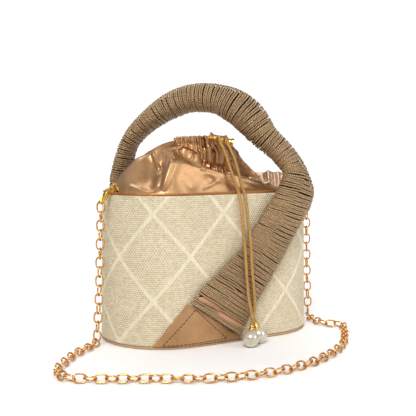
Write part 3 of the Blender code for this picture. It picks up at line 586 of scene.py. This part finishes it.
def handle_controls():
    """Sections from the front end, over the top, to the back end: centre, half-width vector, half thickness, squareness."""
    turns = [((-47.0, 38.2), (0.8, 6.0), 3.6), ((-38.0, 47.7), (6.5, 16.5), 4.0),
             ((-19.5, 62.5), (18.5, 35.0), 4.3), ((3.0, 81.7), (35.8, 58.5), 4.5),
             ((14.5, 97.0), (48.8, 77.9), 5.0), ((24.8, 111.6), (61.0, 97.0), 5.8),
             ((34.0, 124.0), (69.8, 111.8), 7.0)]
    face = []
    for (x0, z0), (x1, z1), half in turns:
        stand_off = END_RADIUS / MM + wall_offset(z1 * MM) / MM + 0.5
        centre = np.array([(x0 + x1) / 2, -(stand_off + half), (z0 + z1) / 2])
        wide = np.array([(x1 - x0) / 2, 0, (z1 - z0) / 2])
        face.append((centre, wide, half, 2.7))
    rise = [
        ((57.5, -58.4, 131.0), (0.93, 0.10, -0.36), 17.6, 9.0, 2.3),
        ((56.3, -56.0, 142.0), (0.80, 0.56, -0.20), 17.6, 9.8, 2.1),
        ((51.7, -51.7, 151.3), (0.70, 0.71, -0.05), 17.8, 10.4, 2.0),
        ((46.9, -46.9, 159.2), (0.64, 0.77, 0.0), 17.6, 10.8, 2.0),
        ((41.8, -41.8, 165.8), (0.60, 0.80, 0.0), 17.2, 11.4, 2.0),
        ((36.6, -36.6, 172.5), (0.60, 0.80, 0.0), 16.6, 12.4, 2.0),
        ((31.8, -31.8, 181.0), (0.62, 0.78, 0.0), 16.0, 14.2, 2.0),
        ((26.0, -26.0, 190.1), (0.66, 0.75, 0.0), 15.8, 15.3, 2.0),
        ((17.6, -17.6, 198.7), (0.70, 0.71, 0.0), 16.0, 14.9, 2.0),
        ((8.2, -8.2, 204.0), (0.71, 0.71, 0.0), 16.6, 13.4, 2.0),
        ((-1.6, 1.6, 205.7), (0.71, 0.71, 0.0), 17.0, 12.9, 2.0),
        ((-11.3, 11.3, 204.7), (0.70, 0.71, 0.0), 17.2, 12.4, 2.0),
        ((-19.9, 19.9, 200.8), (0.68, 0.73, 0.0), 17.3, 12.0, 2.0),
        ((-28.0, 28.0, 194.8), (0.66, 0.75, 0.0), 17.5, 11.2, 2.0),
        ((-34.9, 34.9, 188.2), (0.64, 0.77, 0.0), 17.8, 10.2, 2.0),
        ((-41.2, 41.2, 181.1), (0.62, 0.78, 0.0), 18.2, 9.2, 2.0),
        ((-46.8, 46.8, 173.1), (0.62, 0.78, 0.0), 18.4, 8.5, 2.0),
        ((-50.6, 50.6, 165.2), (0.62, 0.78, 0.0), 18.5, 8.1, 2.0),
        ((-52.7, 52.7, 157.4), (0.64, 0.77, 0.0), 18.5, 8.1, 2.0),
        ((-53.9, 54.3, 149.3), (0.68, 0.73, 0.0), 18.5, 8.3, 2.0),
        ((-54.3, 56.5, 140.8), (0.74, 0.67, 0.05), 18.4, 8.6, 2.1),
        ((-53.0, 58.8, 131.0), (0.84, 0.50, 0.20), 18.2, 8.4, 2.3),
    ]
    arch = [(np.array(c), unit(np.array(w)) * a, b, p) for c, w, a, b, p in rise]
    back = []
    for i, (centre, wide, half, power) in enumerate(face):
        shift = np.array([5.0 * i / (len(face) - 1), 0, 0])
        back.append((centre * (-1, -1, 1) + shift, wide * (1, 1, -1), half, power))
    return face + arch + back[::-1]


CORD_RADIUS = 0.86
CORD_DEPTH = 0.95
POINTS_PER_TURN = 44
PAIR_PITCH = 3.7
IN_PAIR = 1.62


def build_wrap():
    """One long cord wound round the strap, two turns close together and then a gap that opens and closes."""
    controls = handle_controls()
    table = np.array([[*c, *w, h, p] for c, w, h, p in controls])
    knots = lengths(table[:, :3])
    total = knots[-1]
    starts = [1.0]
    k = 0
    while starts[-1] < total - 2.4:
        gap = IN_PAIR if k % 2 == 0 else PAIR_PITCH - IN_PAIR + rng.normal(0, 0.16)
        if k == 3:
            gap = 4.0
        starts.append(starts[-1] + gap)
        k += 1
    starts = np.array(starts)
    turns = len(starts) - 1
    theta = np.arange(turns * POINTS_PER_TURN + 1) / POINTS_PER_TURN
    lap = np.minimum(theta.astype(int), turns - 1)
    share = theta - lap
    # The cord crosses over to its next turn on the underside
    s = starts[lap] + (starts[lap + 1] - starts[lap]) * (smoothstep(share, 0.86, 1.0) * 0.5
                                                        - (1 - smoothstep(share, 0.0, 0.14)) * 0.5)
    s = s + (starts[lap + 1] - starts[lap]) * 0.5 * 0
    angle = 2 * math.pi * share
    pair = lap // 2
    slip = rng.uniform(0.10, 0.55, turns)[pair]
    phase = rng.uniform(0, 2 * math.pi, turns)[pair]
    single = rng.normal(0, 0.10, turns)[lap]
    ease = np.sin(math.pi * np.clip(share, 0, 1)) ** 0.5
    s = s + (slip * np.sin(angle + phase) + single * np.sin(2 * angle + phase)) * ease
    s = np.clip(s, 0.9, total - 0.9)

    def at(place):
        rows = spline(table, place, knots)
        return rows[:, :3], rows[:, 3:6], rows[:, 6], rows[:, 7]

    centre, wide, half, power = at(s)
    ahead = at(np.clip(s + 1.0, 0, total))[0] - at(np.clip(s - 1.0, 0, total))[0]
    thick = unit(np.cross(ahead, wide))
    side = unit(wide)
    reach = np.linalg.norm(wide, axis=1) - CORD_DEPTH
    depth = half - CORD_DEPTH
    around = angle - math.pi / 2
    c, n = np.cos(around), np.sin(around)
    x = np.sign(c) * np.abs(c) ** (2 / power) * reach
    y = np.sign(n) * np.abs(n) ** (2 / power) * depth
    lift = rng.normal(0, 0.16, turns)[lap]
    path = centre + side * x[:, None] + thick * y[:, None]
    outward = unit(side * (c * depth / reach)[:, None] + thick * n[:, None])
    path = path + outward * (lift * ease)[:, None]
    radius = CORD_RADIUS * (1 + rng.normal(0, 0.05, turns)[lap])
    rings = tube(path, radius, 6, outward)
    wrap = grid_piece("cord_wrap", rings * MM, ROPE, lengths(path), np.arange(7) / 6, wrap_columns=True)
    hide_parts("handle_wrap")


build_wrap()

# The handle core under the cord: near-black above 42 mm is painted shade for the gaps between the cord turns; below it
# the pink is the leather's own colour where it shows at the lower end.
strap = Look("strap_leather_gap_shade", (0.05, 0.025, 0.012), 0.75)
height = strap.node("ShaderNodeSeparateXYZ", "Z")
strap.tree.links.new(strap.place().socket, height.socket.node.inputs[0])
strap.set("Base Color", strap.mix(height.do("LESS_THAN", 0.042), (0.020, 0.010, 0.005), (0.62, 0.33, 0.19)))
strap.bump(strap.noise(500.0), 0.1 * MM, 0.4)
dress(strap.material, "handle_core")


# Chain of oval links

RING_PIVOT = (END_RADIUS - 0.0051, 0.1266)
RING_DEPTH, RING_LEAN = 0.0048, math.radians(75)
CLASP_LENGTH, CLASP_DROOP = 0.0185, math.radians(46)
FITTING_TURN = math.asin(0.008 / END_RADIUS)
LINK_PITCH, LINK_WIRE = 7.5, 0.7
LINK_HALF = (4.45, 3.2)
TOP_LINKS, RIGHT_LINKS = 2, 5
CHAIN_FLOOR_ROUTE = [(-107.6, -8.0), (-116.0, -17.0), (-125.0, -25.0), (-133.5, -32.0), (-143.0, -42.0),
                     (-153.0, -55.0), (-161.5, -67.0), (-166.0, -79.5), (-163.5, -91.5), (-155.5, -99.5),
                     (-146.0, -105.5), (-136.0, -111.5), (-122.0, -119.0), (-108.0, -126.5), (-96.0, -134.0),
                     (-82.0, -141.5), (-66.0, -147.5), (-49.0, -150.8), (-33.0, -152.0), (-19.0, -151.2),
                     (-4.5, -148.4), (9.0, -145.0), (22.0, -139.6), (35.0, -133.0), (48.0, -125.3),
                     (60.0, -116.5), (72.0, -105.0), (84.0, -91.0), (96.0, -76.0), (105.5, -62.5),
                     (107.0, -55.5), (102.5, -50.0), (98.8, -43.0), (98.0, -33.0), (100.5, -22.5), (104.5, -13.0)]


def clasp_eye(side):
    """The eye that the chain's first link hangs in, at the left (-1) or right (1) end."""
    out = RING_PIVOT[0] + RING_DEPTH * math.cos(RING_LEAN) + CLASP_LENGTH * math.cos(CLASP_DROOP)
    up = RING_PIVOT[1] + RING_DEPTH * math.sin(RING_LEAN) - CLASP_LENGTH * math.sin(CLASP_DROOP)
    return np.array([side * (STRAIGHT_HALF + out * math.cos(FITTING_TURN)), -out * math.sin(FITTING_TURN), up])


def chain_route():
    left, right = clasp_eye(-1), clasp_eye(1)
    points = [left - (0, 0, 0.0026), left - (0.0008, -0.0002, 0.030), left - (0.0020, -0.0006, 0.070),
              (-0.1066, -0.0080, 0.020), (-0.1072, -0.0076, 0.0075)]
    points += [(x * MM, y * MM, 0.0032) for x, y in CHAIN_FLOOR_ROUTE]
    points += [(0.1068, -0.0090, 0.0085), (0.1068, -0.0086, 0.022), right + (0.0020, 0.0006, -0.070),
               right + (0.0008, 0.0002, -0.030), right - (0, 0, 0.0026)]
    route = smooth_route(points, 400)
    route[:, 2] = np.maximum(route[:, 2], 0.0030)
    return route


def build_chain():
    route = chain_route()
    walked = lengths(route)
    count = int(round((walked[-1] + 0.001) / (LINK_PITCH * MM)))
    places = np.linspace(0.0014, walked[-1] - 0.0014, count)
    centre = np.stack([np.interp(places, walked, route[:, k]) for k in range(3)], 1)
    ahead = np.stack([np.interp(places + 0.003, walked, route[:, k]) - np.interp(places - 0.003, walked, route[:, k])
                      for k in range(3)], 1)
    ahead = unit(ahead)
    upright = np.abs(ahead[:, 2:]) > 0.7
    view = np.where(upright, np.array([[0.5, 0.866, 0.0]]), np.array([[0.0, 0.0, 1.0]]))
    base = unit(view - ahead * np.sum(view * ahead, 1, keepdims=True))
    across = np.cross(ahead, base)
    roll = np.where(np.arange(count) % 2 == 0, 0.0, math.pi / 2) + np.where(upright[:, 0], 0.10, math.pi / 4)
    roll = roll + rng.normal(0, 0.10, count)
    normal = np.cos(roll)[:, None] * base + np.sin(roll)[:, None] * across
    side = np.cross(normal, ahead)
    angle = 2 * math.pi * np.arange(28) / 28
    c, n = np.cos(angle), np.sin(angle)
    x = np.sign(c) * np.abs(c) ** 0.82 * LINK_HALF[0] * MM
    y = np.sign(n) * np.abs(n) ** 0.82 * LINK_HALF[1] * MM
    links = []
    for k in range(count):
        loop = centre[k] + x[:, None] * ahead[k] + y[:, None] * side[k]
        links.append(tube(loop, LINK_WIRE * MM, 8, np.broadcast_to(normal[k], loop.shape), closed=True))
    links = np.array(links)

    def part(name, first, last):
        """Some of the links as one piece, on no body and baked into world space."""
        piece = grid_piece(name, links[first:last], CHAIN, wrap_rows=True, wrap_columns=True, body=None)
        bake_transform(piece)
        return piece

    chain = part("chain_links", TOP_LINKS, count - TOP_LINKS - RIGHT_LINKS)
    tops = [
        part("left_top_links", 0, TOP_LINKS),
        part("right_side_links", count - TOP_LINKS - RIGHT_LINKS, count - TOP_LINKS),
        part("right_top_links", count - TOP_LINKS, count),
    ]
    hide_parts("chain_strap")


build_chain()


# Drawcord tails and pearls

STOP_CENTRE = np.array([0.0012, -0.0244, 0.1688])
STOP_HOLE_AXIS = unit(np.array([-0.45, -0.88, 0.10]))
STOP_SPACING = 0.0060
HEM_FRONT, HEM_HOLE_HEIGHT = -0.0131, 0.1678
TAIL_RADIUS = 1.3
PEARLS = {
    "front": (np.array([-0.7, -74.9, 7.05]), np.array([5.0, -68.4, 20.5])),
    "rear": (np.array([12.1, -67.6, 7.05]), np.array([8.8, -65.0, 21.0])),
}
TAIL_ROUTES = {
    "front": [(-7.3, -37.4, 166.4), (-5.2, -39.2, 161.0), (-3.5, -40.2, 155.7), (-2.1, -41.6, 149.7),
              (-0.5, -43.8, 142.3), (0.2, -47.0, 135.4), (0.6, -50.6, 129.3), (0.6, -53.8, 124.4),
              (1.3, -54.9, 120.0), (2.6, -55.2, 112.0), (3.4, -55.4, 103.2), (3.3, -56.2, 96.6),
              (2.6, -58.4, 90.4), (1.2, -62.0, 84.2), (0.6, -64.0, 78.4), (0.9, -64.4, 70.0),
              (1.8, -64.4, 59.0), (2.8, -64.3, 49.0), (4.0, -64.5, 38.0), (4.9, -65.4, 31.0),
              (5.2, -66.7, 26.1)],
    "rear": [(-1.2, -39.0, 165.4), (0.9, -40.2, 160.6), (2.9, -41.3, 155.4), (4.5, -42.5, 149.7),
             (5.5, -44.8, 142.4), (5.5, -48.2, 135.4), (5.3, -51.3, 130.3), (5.4, -54.2, 125.2),
             (6.2, -55.3, 120.0), (7.3, -55.5, 112.5), (7.7, -56.6, 104.0), (6.9, -59.4, 97.4),
             (5.9, -62.6, 91.2), (5.6, -64.3, 85.4), (6.1, -64.6, 78.0), (6.6, -64.5, 69.0),
             (7.4, -64.5, 59.0), (8.7, -64.2, 49.0), (10.1, -63.8, 38.0), (10.6, -63.6, 30.6),
             (10.1, -63.9, 25.6)],
}


def stop_axis():
    across = np.array([0.825, -0.50, -0.263])
    return unit(across - np.dot(across, STOP_HOLE_AXIS) * STOP_HOLE_AXIS)


def revolved(profile, axis, centre, steps):
    """Rings of a turned shape; the profile lists (along axis, radius)."""
    side = unit(np.cross(axis, [0.2, 0.5, 0.83]))
    other = np.cross(axis, side)
    angle = 2 * math.pi * np.arange(steps) / steps
    spin = np.cos(angle)[:, None] * side + np.sin(angle)[:, None] * other
    return np.array([centre + axis * along + radius * spin for along, radius in profile])


def build_tail(which, side):
    pearl, knot = PEARLS[which]
    hole = STOP_CENTRE + stop_axis() * side * STOP_SPACING / 2
    run = (HEM_FRONT - hole[1]) / STOP_HOLE_AXIS[1]
    points = [np.array([hole[0] + STOP_HOLE_AXIS[0] * run, HEM_FRONT, HEM_HOLE_HEIGHT])]
    points += [hole + STOP_HOLE_AXIS * along for along in (-0.0040, -0.0015, 0.0015, 0.0045, 0.0090, 0.0130)]
    points += [np.array(p) * MM for p in TAIL_ROUTES[which]]
    axis = unit(knot - pearl)
    top = 7.0 + 0.3 + 3.6
    points += [(pearl + axis * (top + 6.0)) * MM, (pearl + axis * (top + 0.3)) * MM]
    route = smooth_route(points, 260)
    walked = lengths(route)
    rings = tube(route, TAIL_RADIUS * MM, 12, carried_normals(route))
    cord = grid_piece(f"{which}_cord", rings, CORD, walked / MM, np.arange(13) / 12, wrap_columns=True)
    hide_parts(f"{which}_tail")

    ball = [(7.0 * math.cos(a), max(7.0 * math.sin(a), 0.02)) for a in np.linspace(math.pi, 0, 33)]
    bead = grid_piece(f"{which}_bead", revolved(ball, axis, pearl, 48) * MM, PEARL, wrap_columns=True)
    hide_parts(f"{which}_pearl")
    cup = [(6.6, 0.1), (6.6, 2.5), (7.0, 2.75), (7.4, 2.6), (7.8, 2.1), (8.1, 2.3), (8.5, 2.3), (8.8, 1.9),
           (9.6, 1.75), (10.3, 1.7), (10.5, 1.85), (10.9, 1.85), (11.0, 1.3)]
    cap = grid_piece(f"{which}_cup", revolved(cup, axis, pearl, 28) * MM, GOLD, wrap_columns=True)
    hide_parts(f"{which}_pearl_cap")


build_tail("front", -1)
build_tail("rear", 1)


# Gathered leather top

NECK_LEFT, NECK_RIGHT_LOW, NECK_RIGHT_TOP = -30.5, 31.0, 18.5
NECK_TAPER = (157.0, 171.5)
NECK_HALF_Y = 13.5
NECK_TOP = 172.6
POUCH_PROFILES = [
    (0, [(0, 124.0), (.04, 132.0), (.09, 139.0), (.22, 140.0), (.37, 138.8), (.57, 133.0), (.71, 140.0), (.86, 147.2),
         (1, 157.0)]),
    (40, [(0, 124.0), (.06, 129.0), (.22, 136.5), (.45, 139.0), (.72, 143.0), (1, 153.0)]),
    (90, [(0, 124.0), (.08, 129.0), (.30, 139.0), (.55, 140.0), (.80, 143.0), (1, 150.0)]),
    (135, [(0, 124.0), (.08, 128.0), (.30, 137.0), (.55, 147.0), (.80, 156.0), (1, 162.0)]),
    (180, [(0, 124.0), (.05, 131.0), (.18, 140.5), (.41, 153.0), (.59, 159.8), (.72, 163.7), (.90, 167.0), (1, 168.0)]),
    (203, [(0, 124.0), (.08, 128.5), (.25, 135.0), (.45, 144.0), (.70, 156.0), (1, 164.0)]),
    (226, [(0, 124.0), (.08, 137.0), (.20, 150.0), (.30, 151.5), (.45, 148.5), (.65, 149.0), (.85, 154.5), (1, 160.0)]),
    (248, [(0, 124.0), (.10, 133.5), (.24, 145.0), (.32, 145.0), (.50, 140.0), (.75, 144.0), (1, 152.0)]),
    (270, [(0, 124.0), (.12, 132.0), (.26, 139.5), (.36, 139.0), (.60, 133.5), (.80, 137.0), (1, 145.0)]),
    (292, [(0, 124.0), (.12, 129.0), (.27, 134.5), (.38, 134.0), (.62, 131.0), (.82, 137.0), (1, 145.0)]),
    (320, [(0, 124.0), (.10, 126.8), (.27, 129.0), (.45, 129.0), (.65, 131.0), (.85, 142.0), (1, 153.0)]),
    (340, [(0, 124.0), (.06, 130.0), (.16, 134.5), (.35, 133.0), (.57, 131.0), (.75, 140.0), (1, 156.0)]),
]


def neck_ring(turn, z, inward):
    """Points of the neck, which narrows from the right towards its top, in millimetres."""
    rise = np.clip((z - NECK_TAPER[0]) / (NECK_TAPER[1] - NECK_TAPER[0]), 0, 1)
    right = NECK_RIGHT_LOW + (NECK_RIGHT_TOP - NECK_RIGHT_LOW) * rise
    half_x = (right - NECK_LEFT) / 2 - inward
    half_y = NECK_HALF_Y - inward
    x = (right + NECK_LEFT) / 2 + half_x * np.cos(turn)
    y = half_y * np.sin(turn)
    return np.stack(np.broadcast_arrays(x, y, z), -1)


def blur(field, width, axis, wrap):
    """Soften an array along one axis with a bell-shaped window."""
    reach = int(3 * width) + 1
    kernel = np.exp(-0.5 * (np.arange(-reach, reach + 1) / width) ** 2)
    kernel /= kernel.sum()
    pad = [(0, 0)] * field.ndim
    pad[axis] = (reach, reach)
    padded = np.pad(field, pad, mode="wrap" if wrap else "edge")
    return np.apply_along_axis(lambda row: np.convolve(row, kernel, "valid"), axis, padded)


CAMERA_PLACE = np.array([-0.3517, -0.6129, 0.1642])
CAMERA_AHEAD = np.array([0.4986, 0.8633, -0.0784])
FOCAL = 800.0


def seen_at(points):
    """Where points fall in the photograph's 416 x 416 frame."""
    ahead = unit(CAMERA_AHEAD)
    right = unit(np.cross(ahead, [0, 0, 1.0]))
    up = np.cross(right, ahead)
    away = points - CAMERA_PLACE
    deep = away @ ahead
    return 208 + FOCAL * (away @ right) / deep, 208 - FOCAL * (away @ up) / deep


# Folds of the leather seen from the front: a line from one place in the view to another, its width and its
# rise, then the part of the leather it belongs to: 1 below the long front ridge, 2 above it, 0 both.
FRONT_FOLDS = [
    ((203.6, 140), (203.4, 168), 1.1, -3.0, 2), ((208.6, 140), (209.2, 168), 2.6, 1.9, 2),
    ((213.6, 151), (213.2, 163), 1.0, -1.8, 2), ((199.6, 143), (200.2, 165), 1.9, 0.9, 2),
    ((225, 150), (229, 158), 6.0, 2.6, 2), ((236, 152), (237, 160), 2.2, 1.2, 2),
    ((183, 153), (193, 161), 4.6, -3.4, 2), ((174, 148), (186, 146.5), 1.6, 1.5, 2),
    ((186, 146.5), (196, 151), 1.6, 1.2, 2), ((196, 151), (199, 161), 1.6, 1.0, 2),
    ((178, 150), (185, 160), 0.9, 0.8, 2), ((172, 149), (174, 157), 1.8, 1.2, 2),
    ((207, 165.5), (250, 177), 2.6, -3.2, 2), ((180, 161), (203, 167), 1.8, -1.6, 2),
    ((242, 163), (256, 178), 1.0, -0.9, 2), ((246, 164), (259, 177), 1.2, 0.6, 2),
    ((151, 160), (149, 184), 8.0, -4.2, 0), ((161, 164), (160, 186), 3.2, -2.2, 0),
    ((153, 153), (158, 166), 1.6, 1.7, 0), ((164, 152), (164, 159), 2.2, -1.2, 0),
    ((126, 180), (137, 160), 7.0, 1.0, 0), ((131, 187), (150, 192), 1.8, 1.0, 0),
    ((173, 161), (163, 188), 2.9, 2.6, 1), ((171, 158), (172, 160), 3.6, 1.3, 0),
    ((178, 162), (203, 169), 2.0, 1.1, 1), ((203, 169), (262, 183), 2.0, 1.3, 1),
    ((186, 178), (192, 186), 6.0, -1.2, 1), ((208, 178), (211, 180), 3.0, 0.8, 1),
    ((204, 188), (218, 181), 1.6, -0.7, 1), ((232, 184), (246, 188), 4.0, -1.0, 1),
    ((268, 172), (269, 182), 1.9, 1.9, 0), ((262, 175), (263, 182), 1.6, -1.6, 0),
    ((274, 172), (275, 184), 1.3, -1.4, 0), ((278, 173), (279, 184), 1.4, 1.2, 0),
    ((176.5, 139), (177.5, 146), 1.0, -0.9, 2), ((181.5, 138), (182, 146), 1.0, 0.7, 2),
    ((185.2, 138), (186, 147), 0.8, -1.0, 2), ((189.8, 138), (190.2, 148), 0.8, -1.0, 2),
    ((194.4, 138), (195.4, 149), 0.8, -1.1, 2), ((199.0, 138), (198.4, 150), 0.8, -0.9, 2),
]


def surface_normals(points):
    """Outward normals of rows of rings."""
    across = np.roll(points, -1, 1) - np.roll(points, 1, 1)
    up = np.gradient(points, axis=0)
    return unit(np.cross(across, up) + 1e-12)


def build_pouch():
    columns, rows = 400, 84
    turn = 2 * math.pi * np.arange(columns) / columns
    way = np.linspace(0, 1, rows)
    turns_at = np.radians([t for t, _ in POUCH_PROFILES] + [360])
    drawn = np.array([np.interp(way, *zip(*profile)) for _, profile in POUCH_PROFILES])
    drawn = np.vstack([drawn, drawn[:1]])
    k = np.clip(np.searchsorted(turns_at, turn, side="right") - 1, 0, len(turns_at) - 2)
    t = smoothstep(turn, turns_at[k], turns_at[k + 1])[:, None]
    heights = (drawn[k] * (1 - t) + drawn[k + 1] * t).T
    heights = blur(blur(heights, 1.6, 0, False), 4.0, 1, True)

    # The rim follows the oval by length, so a share of the turn is a share of the outline
    around = 4 * STRAIGHT_HALF + 2 * math.pi * END_RADIUS
    along = around / 4 + turn / (2 * math.pi) * around
    tab = 2 * math.pi * END_RADIUS * FITTING_TURN / around
    away = np.minimum(np.abs(turn - math.pi - tab), np.minimum(np.abs(turn + tab), np.abs(turn + tab - 2 * math.pi)))
    inset = -0.0046 - 0.0030 * np.exp(-(away / 0.231) ** 2)
    rim = on_wall(along, 0.124, inset) / MM
    neck = neck_ring(turn, heights[-1], 0.0)
    flat = rim[None] * (1 - way[:, None, None]) + neck[None] * way[:, None, None]
    flat[..., 2] = heights

    # Pleats drawn in by the cord: strongest at the neck, dying out at different places down the slope
    fold_rng = np.random.default_rng(11)
    front = np.exp(-(((turn - math.radians(240)) / math.radians(48)) ** 4))
    pleat = np.zeros(columns)
    folds = np.zeros((rows, columns))
    count = 30
    for k in range(count):
        home = 2 * math.pi * (k + fold_rng.uniform(-0.3, 0.3)) / count
        width = fold_rng.uniform(0.050, 0.085)
        size = fold_rng.uniform(0.8, 1.5)
        reach = fold_rng.uniform(0.12, 0.62)
        bend = fold_rng.normal(0, 0.22)
        for sign, place, share in ((1.0, home, 1.0), (-1.0, home + 0.62 * 2 * math.pi / count, 0.8)):
            lean = place + bend * (1 - way[:, None]) ** 1.4
            off = np.angle(np.exp(1j * (turn[None] - lean))) / (width * (1.9 - 0.9 * way[:, None]))
            calm = 1 - 0.62 * front * (1 - smoothstep(way, 0.80, 1.0)[:, None])
            bump = sign * share * size * np.exp(-off ** 2) * calm
            folds += bump * smoothstep(way, reach, min(reach + 0.45, 1.0))[:, None] * (1.7 - 0.7 * way[:, None])
            pleat += bump[-1]
    out = unit(np.stack([np.cos(turn) / 30, np.sin(turn) / 13.5, np.zeros(columns)], -1))
    surface = flat + (out[None] * 0.8 + surface_normals(flat) * 0.2) * folds[..., None]

    # Casing: pinched where the cord runs, ruffled above it, and lower at its left end
    casing = []
    low = surface[-1, :, 2]
    left_end = np.exp(-((turn - math.pi) / 0.75) ** 2)
    top = NECK_TOP - 0.7 - 3.0 * left_end + 0.45 * pleat
    for share in np.linspace(0.06, 1.0, 18):
        z = low + (top - low) * share
        pinch = -1.2 * np.exp(-((z - 165.2) / 1.7) ** 2) * (1 - left_end) + 0.5 * smoothstep(z, 166.0, 171.5)
        ring = neck_ring(turn, z, 0.0)
        ring += out * (pleat * (1.0 + 0.25 * share) + pinch - 1.8 * left_end * share ** 2)[:, None]
        casing.append(ring)
    body = np.concatenate([surface, np.array(casing)])
    ways = np.concatenate([way, np.ones(len(casing))])
    normals = surface_normals(body)
    facing = smoothstep(-(normals @ unit(CAMERA_AHEAD)), -0.35, 0.15)
    across, down = seen_at(body * MM)
    below = 1 - smoothstep(ways, 0.29, 0.37)[:, None]
    rise = np.zeros(across.shape)
    for (x0, y0), (x1, y1), width, size, layer in FRONT_FOLDS:
        run = np.array([x1 - x0, y1 - y0])
        t = np.clip(((across - x0) * run[0] + (down - y0) * run[1]) / (run @ run), 0, 1)
        off = ((across - x0 - run[0] * t) ** 2 + (down - y0 - run[1] * t) ** 2) / width ** 2
        rise += size * np.exp(-off) * (1.0, below, 1 - below)[layer]
    pinned = smoothstep(ways, 0.0, 0.06)[:, None]
    body = body + normals * (rise * facing * pinned)[..., None]

    # Small slack creases everywhere
    angle = turn[None] * 9 + np.cumsum(np.ones((len(body), 1)), 0) * 0.16
    ripple = 0.10 * np.sin(angle * 2.3 + 2 * np.sin(turn * 5)[None]) * np.sin(ways[:, None] * 17 + turn[None] * 4)
    body = body + surface_normals(body) * (ripple * pinned)[..., None]

    crest = body[-1]
    lip = [crest + np.array([0, 0, 0.45]) - out * 0.5, crest - out * 1.5 + np.array([0, 0, 0.2])]
    for drop in (1.0, 4.0, 7.0, 9.6):
        lip.append(crest - out * 4.4 - out * 0.35 * pleat[:, None] - np.array([0, 0, drop]))
    skirt = [on_wall(along, z, inset - 0.0006) / MM for z in (0.1125, 0.118)]
    points = np.concatenate([np.array(skirt), body, np.array(lip)]) * MM
    pouch = grid_piece("gathered_top", points, FOIL, wrap_columns=True)
    solid = pouch.modifiers.new("leather", "SOLIDIFY")
    solid.thickness = 0.8 * MM
    solid.offset = -1.0
    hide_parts("pouch")


build_pouch()


# Stitches round the sewn strap ends

def build_stitches(name, back):
    corners = [(-40.9, 31.5), (-68.0, 3.4), (-11.5, 4.2), (-40.9, 31.5)]
    loops = []
    for (u0, z0), (u1, z1) in zip(corners, corners[1:]):
        span = math.hypot(u1 - u0, z1 - z0)
        count = int(span / 3.2)
        for k in range(count):
            a, b = (k + 0.16) / count, (k + 0.84) / count
            t = np.linspace(a, b, 7)
            u, z = u0 + (u1 - u0) * t, z0 + (z1 - z0) * t
            bow = 1.75 + 0.28 * np.sin(math.pi * np.linspace(0, 1, 7)) - 0.12
            path = on_wall(u * MM, z * MM, bow * MM)
            if back:
                path = path * (-1, -1, 1)
            out = unit(path * (0.0, 1.0, 0.0) + 1e-9)
            loops.append(tube(path, 0.36 * MM, 6, out))
    return grid_piece(name, np.array(loops), THREAD, wrap_columns=True)


build_stitches("front_stitches", False)
build_stitches("back_stitches", True)
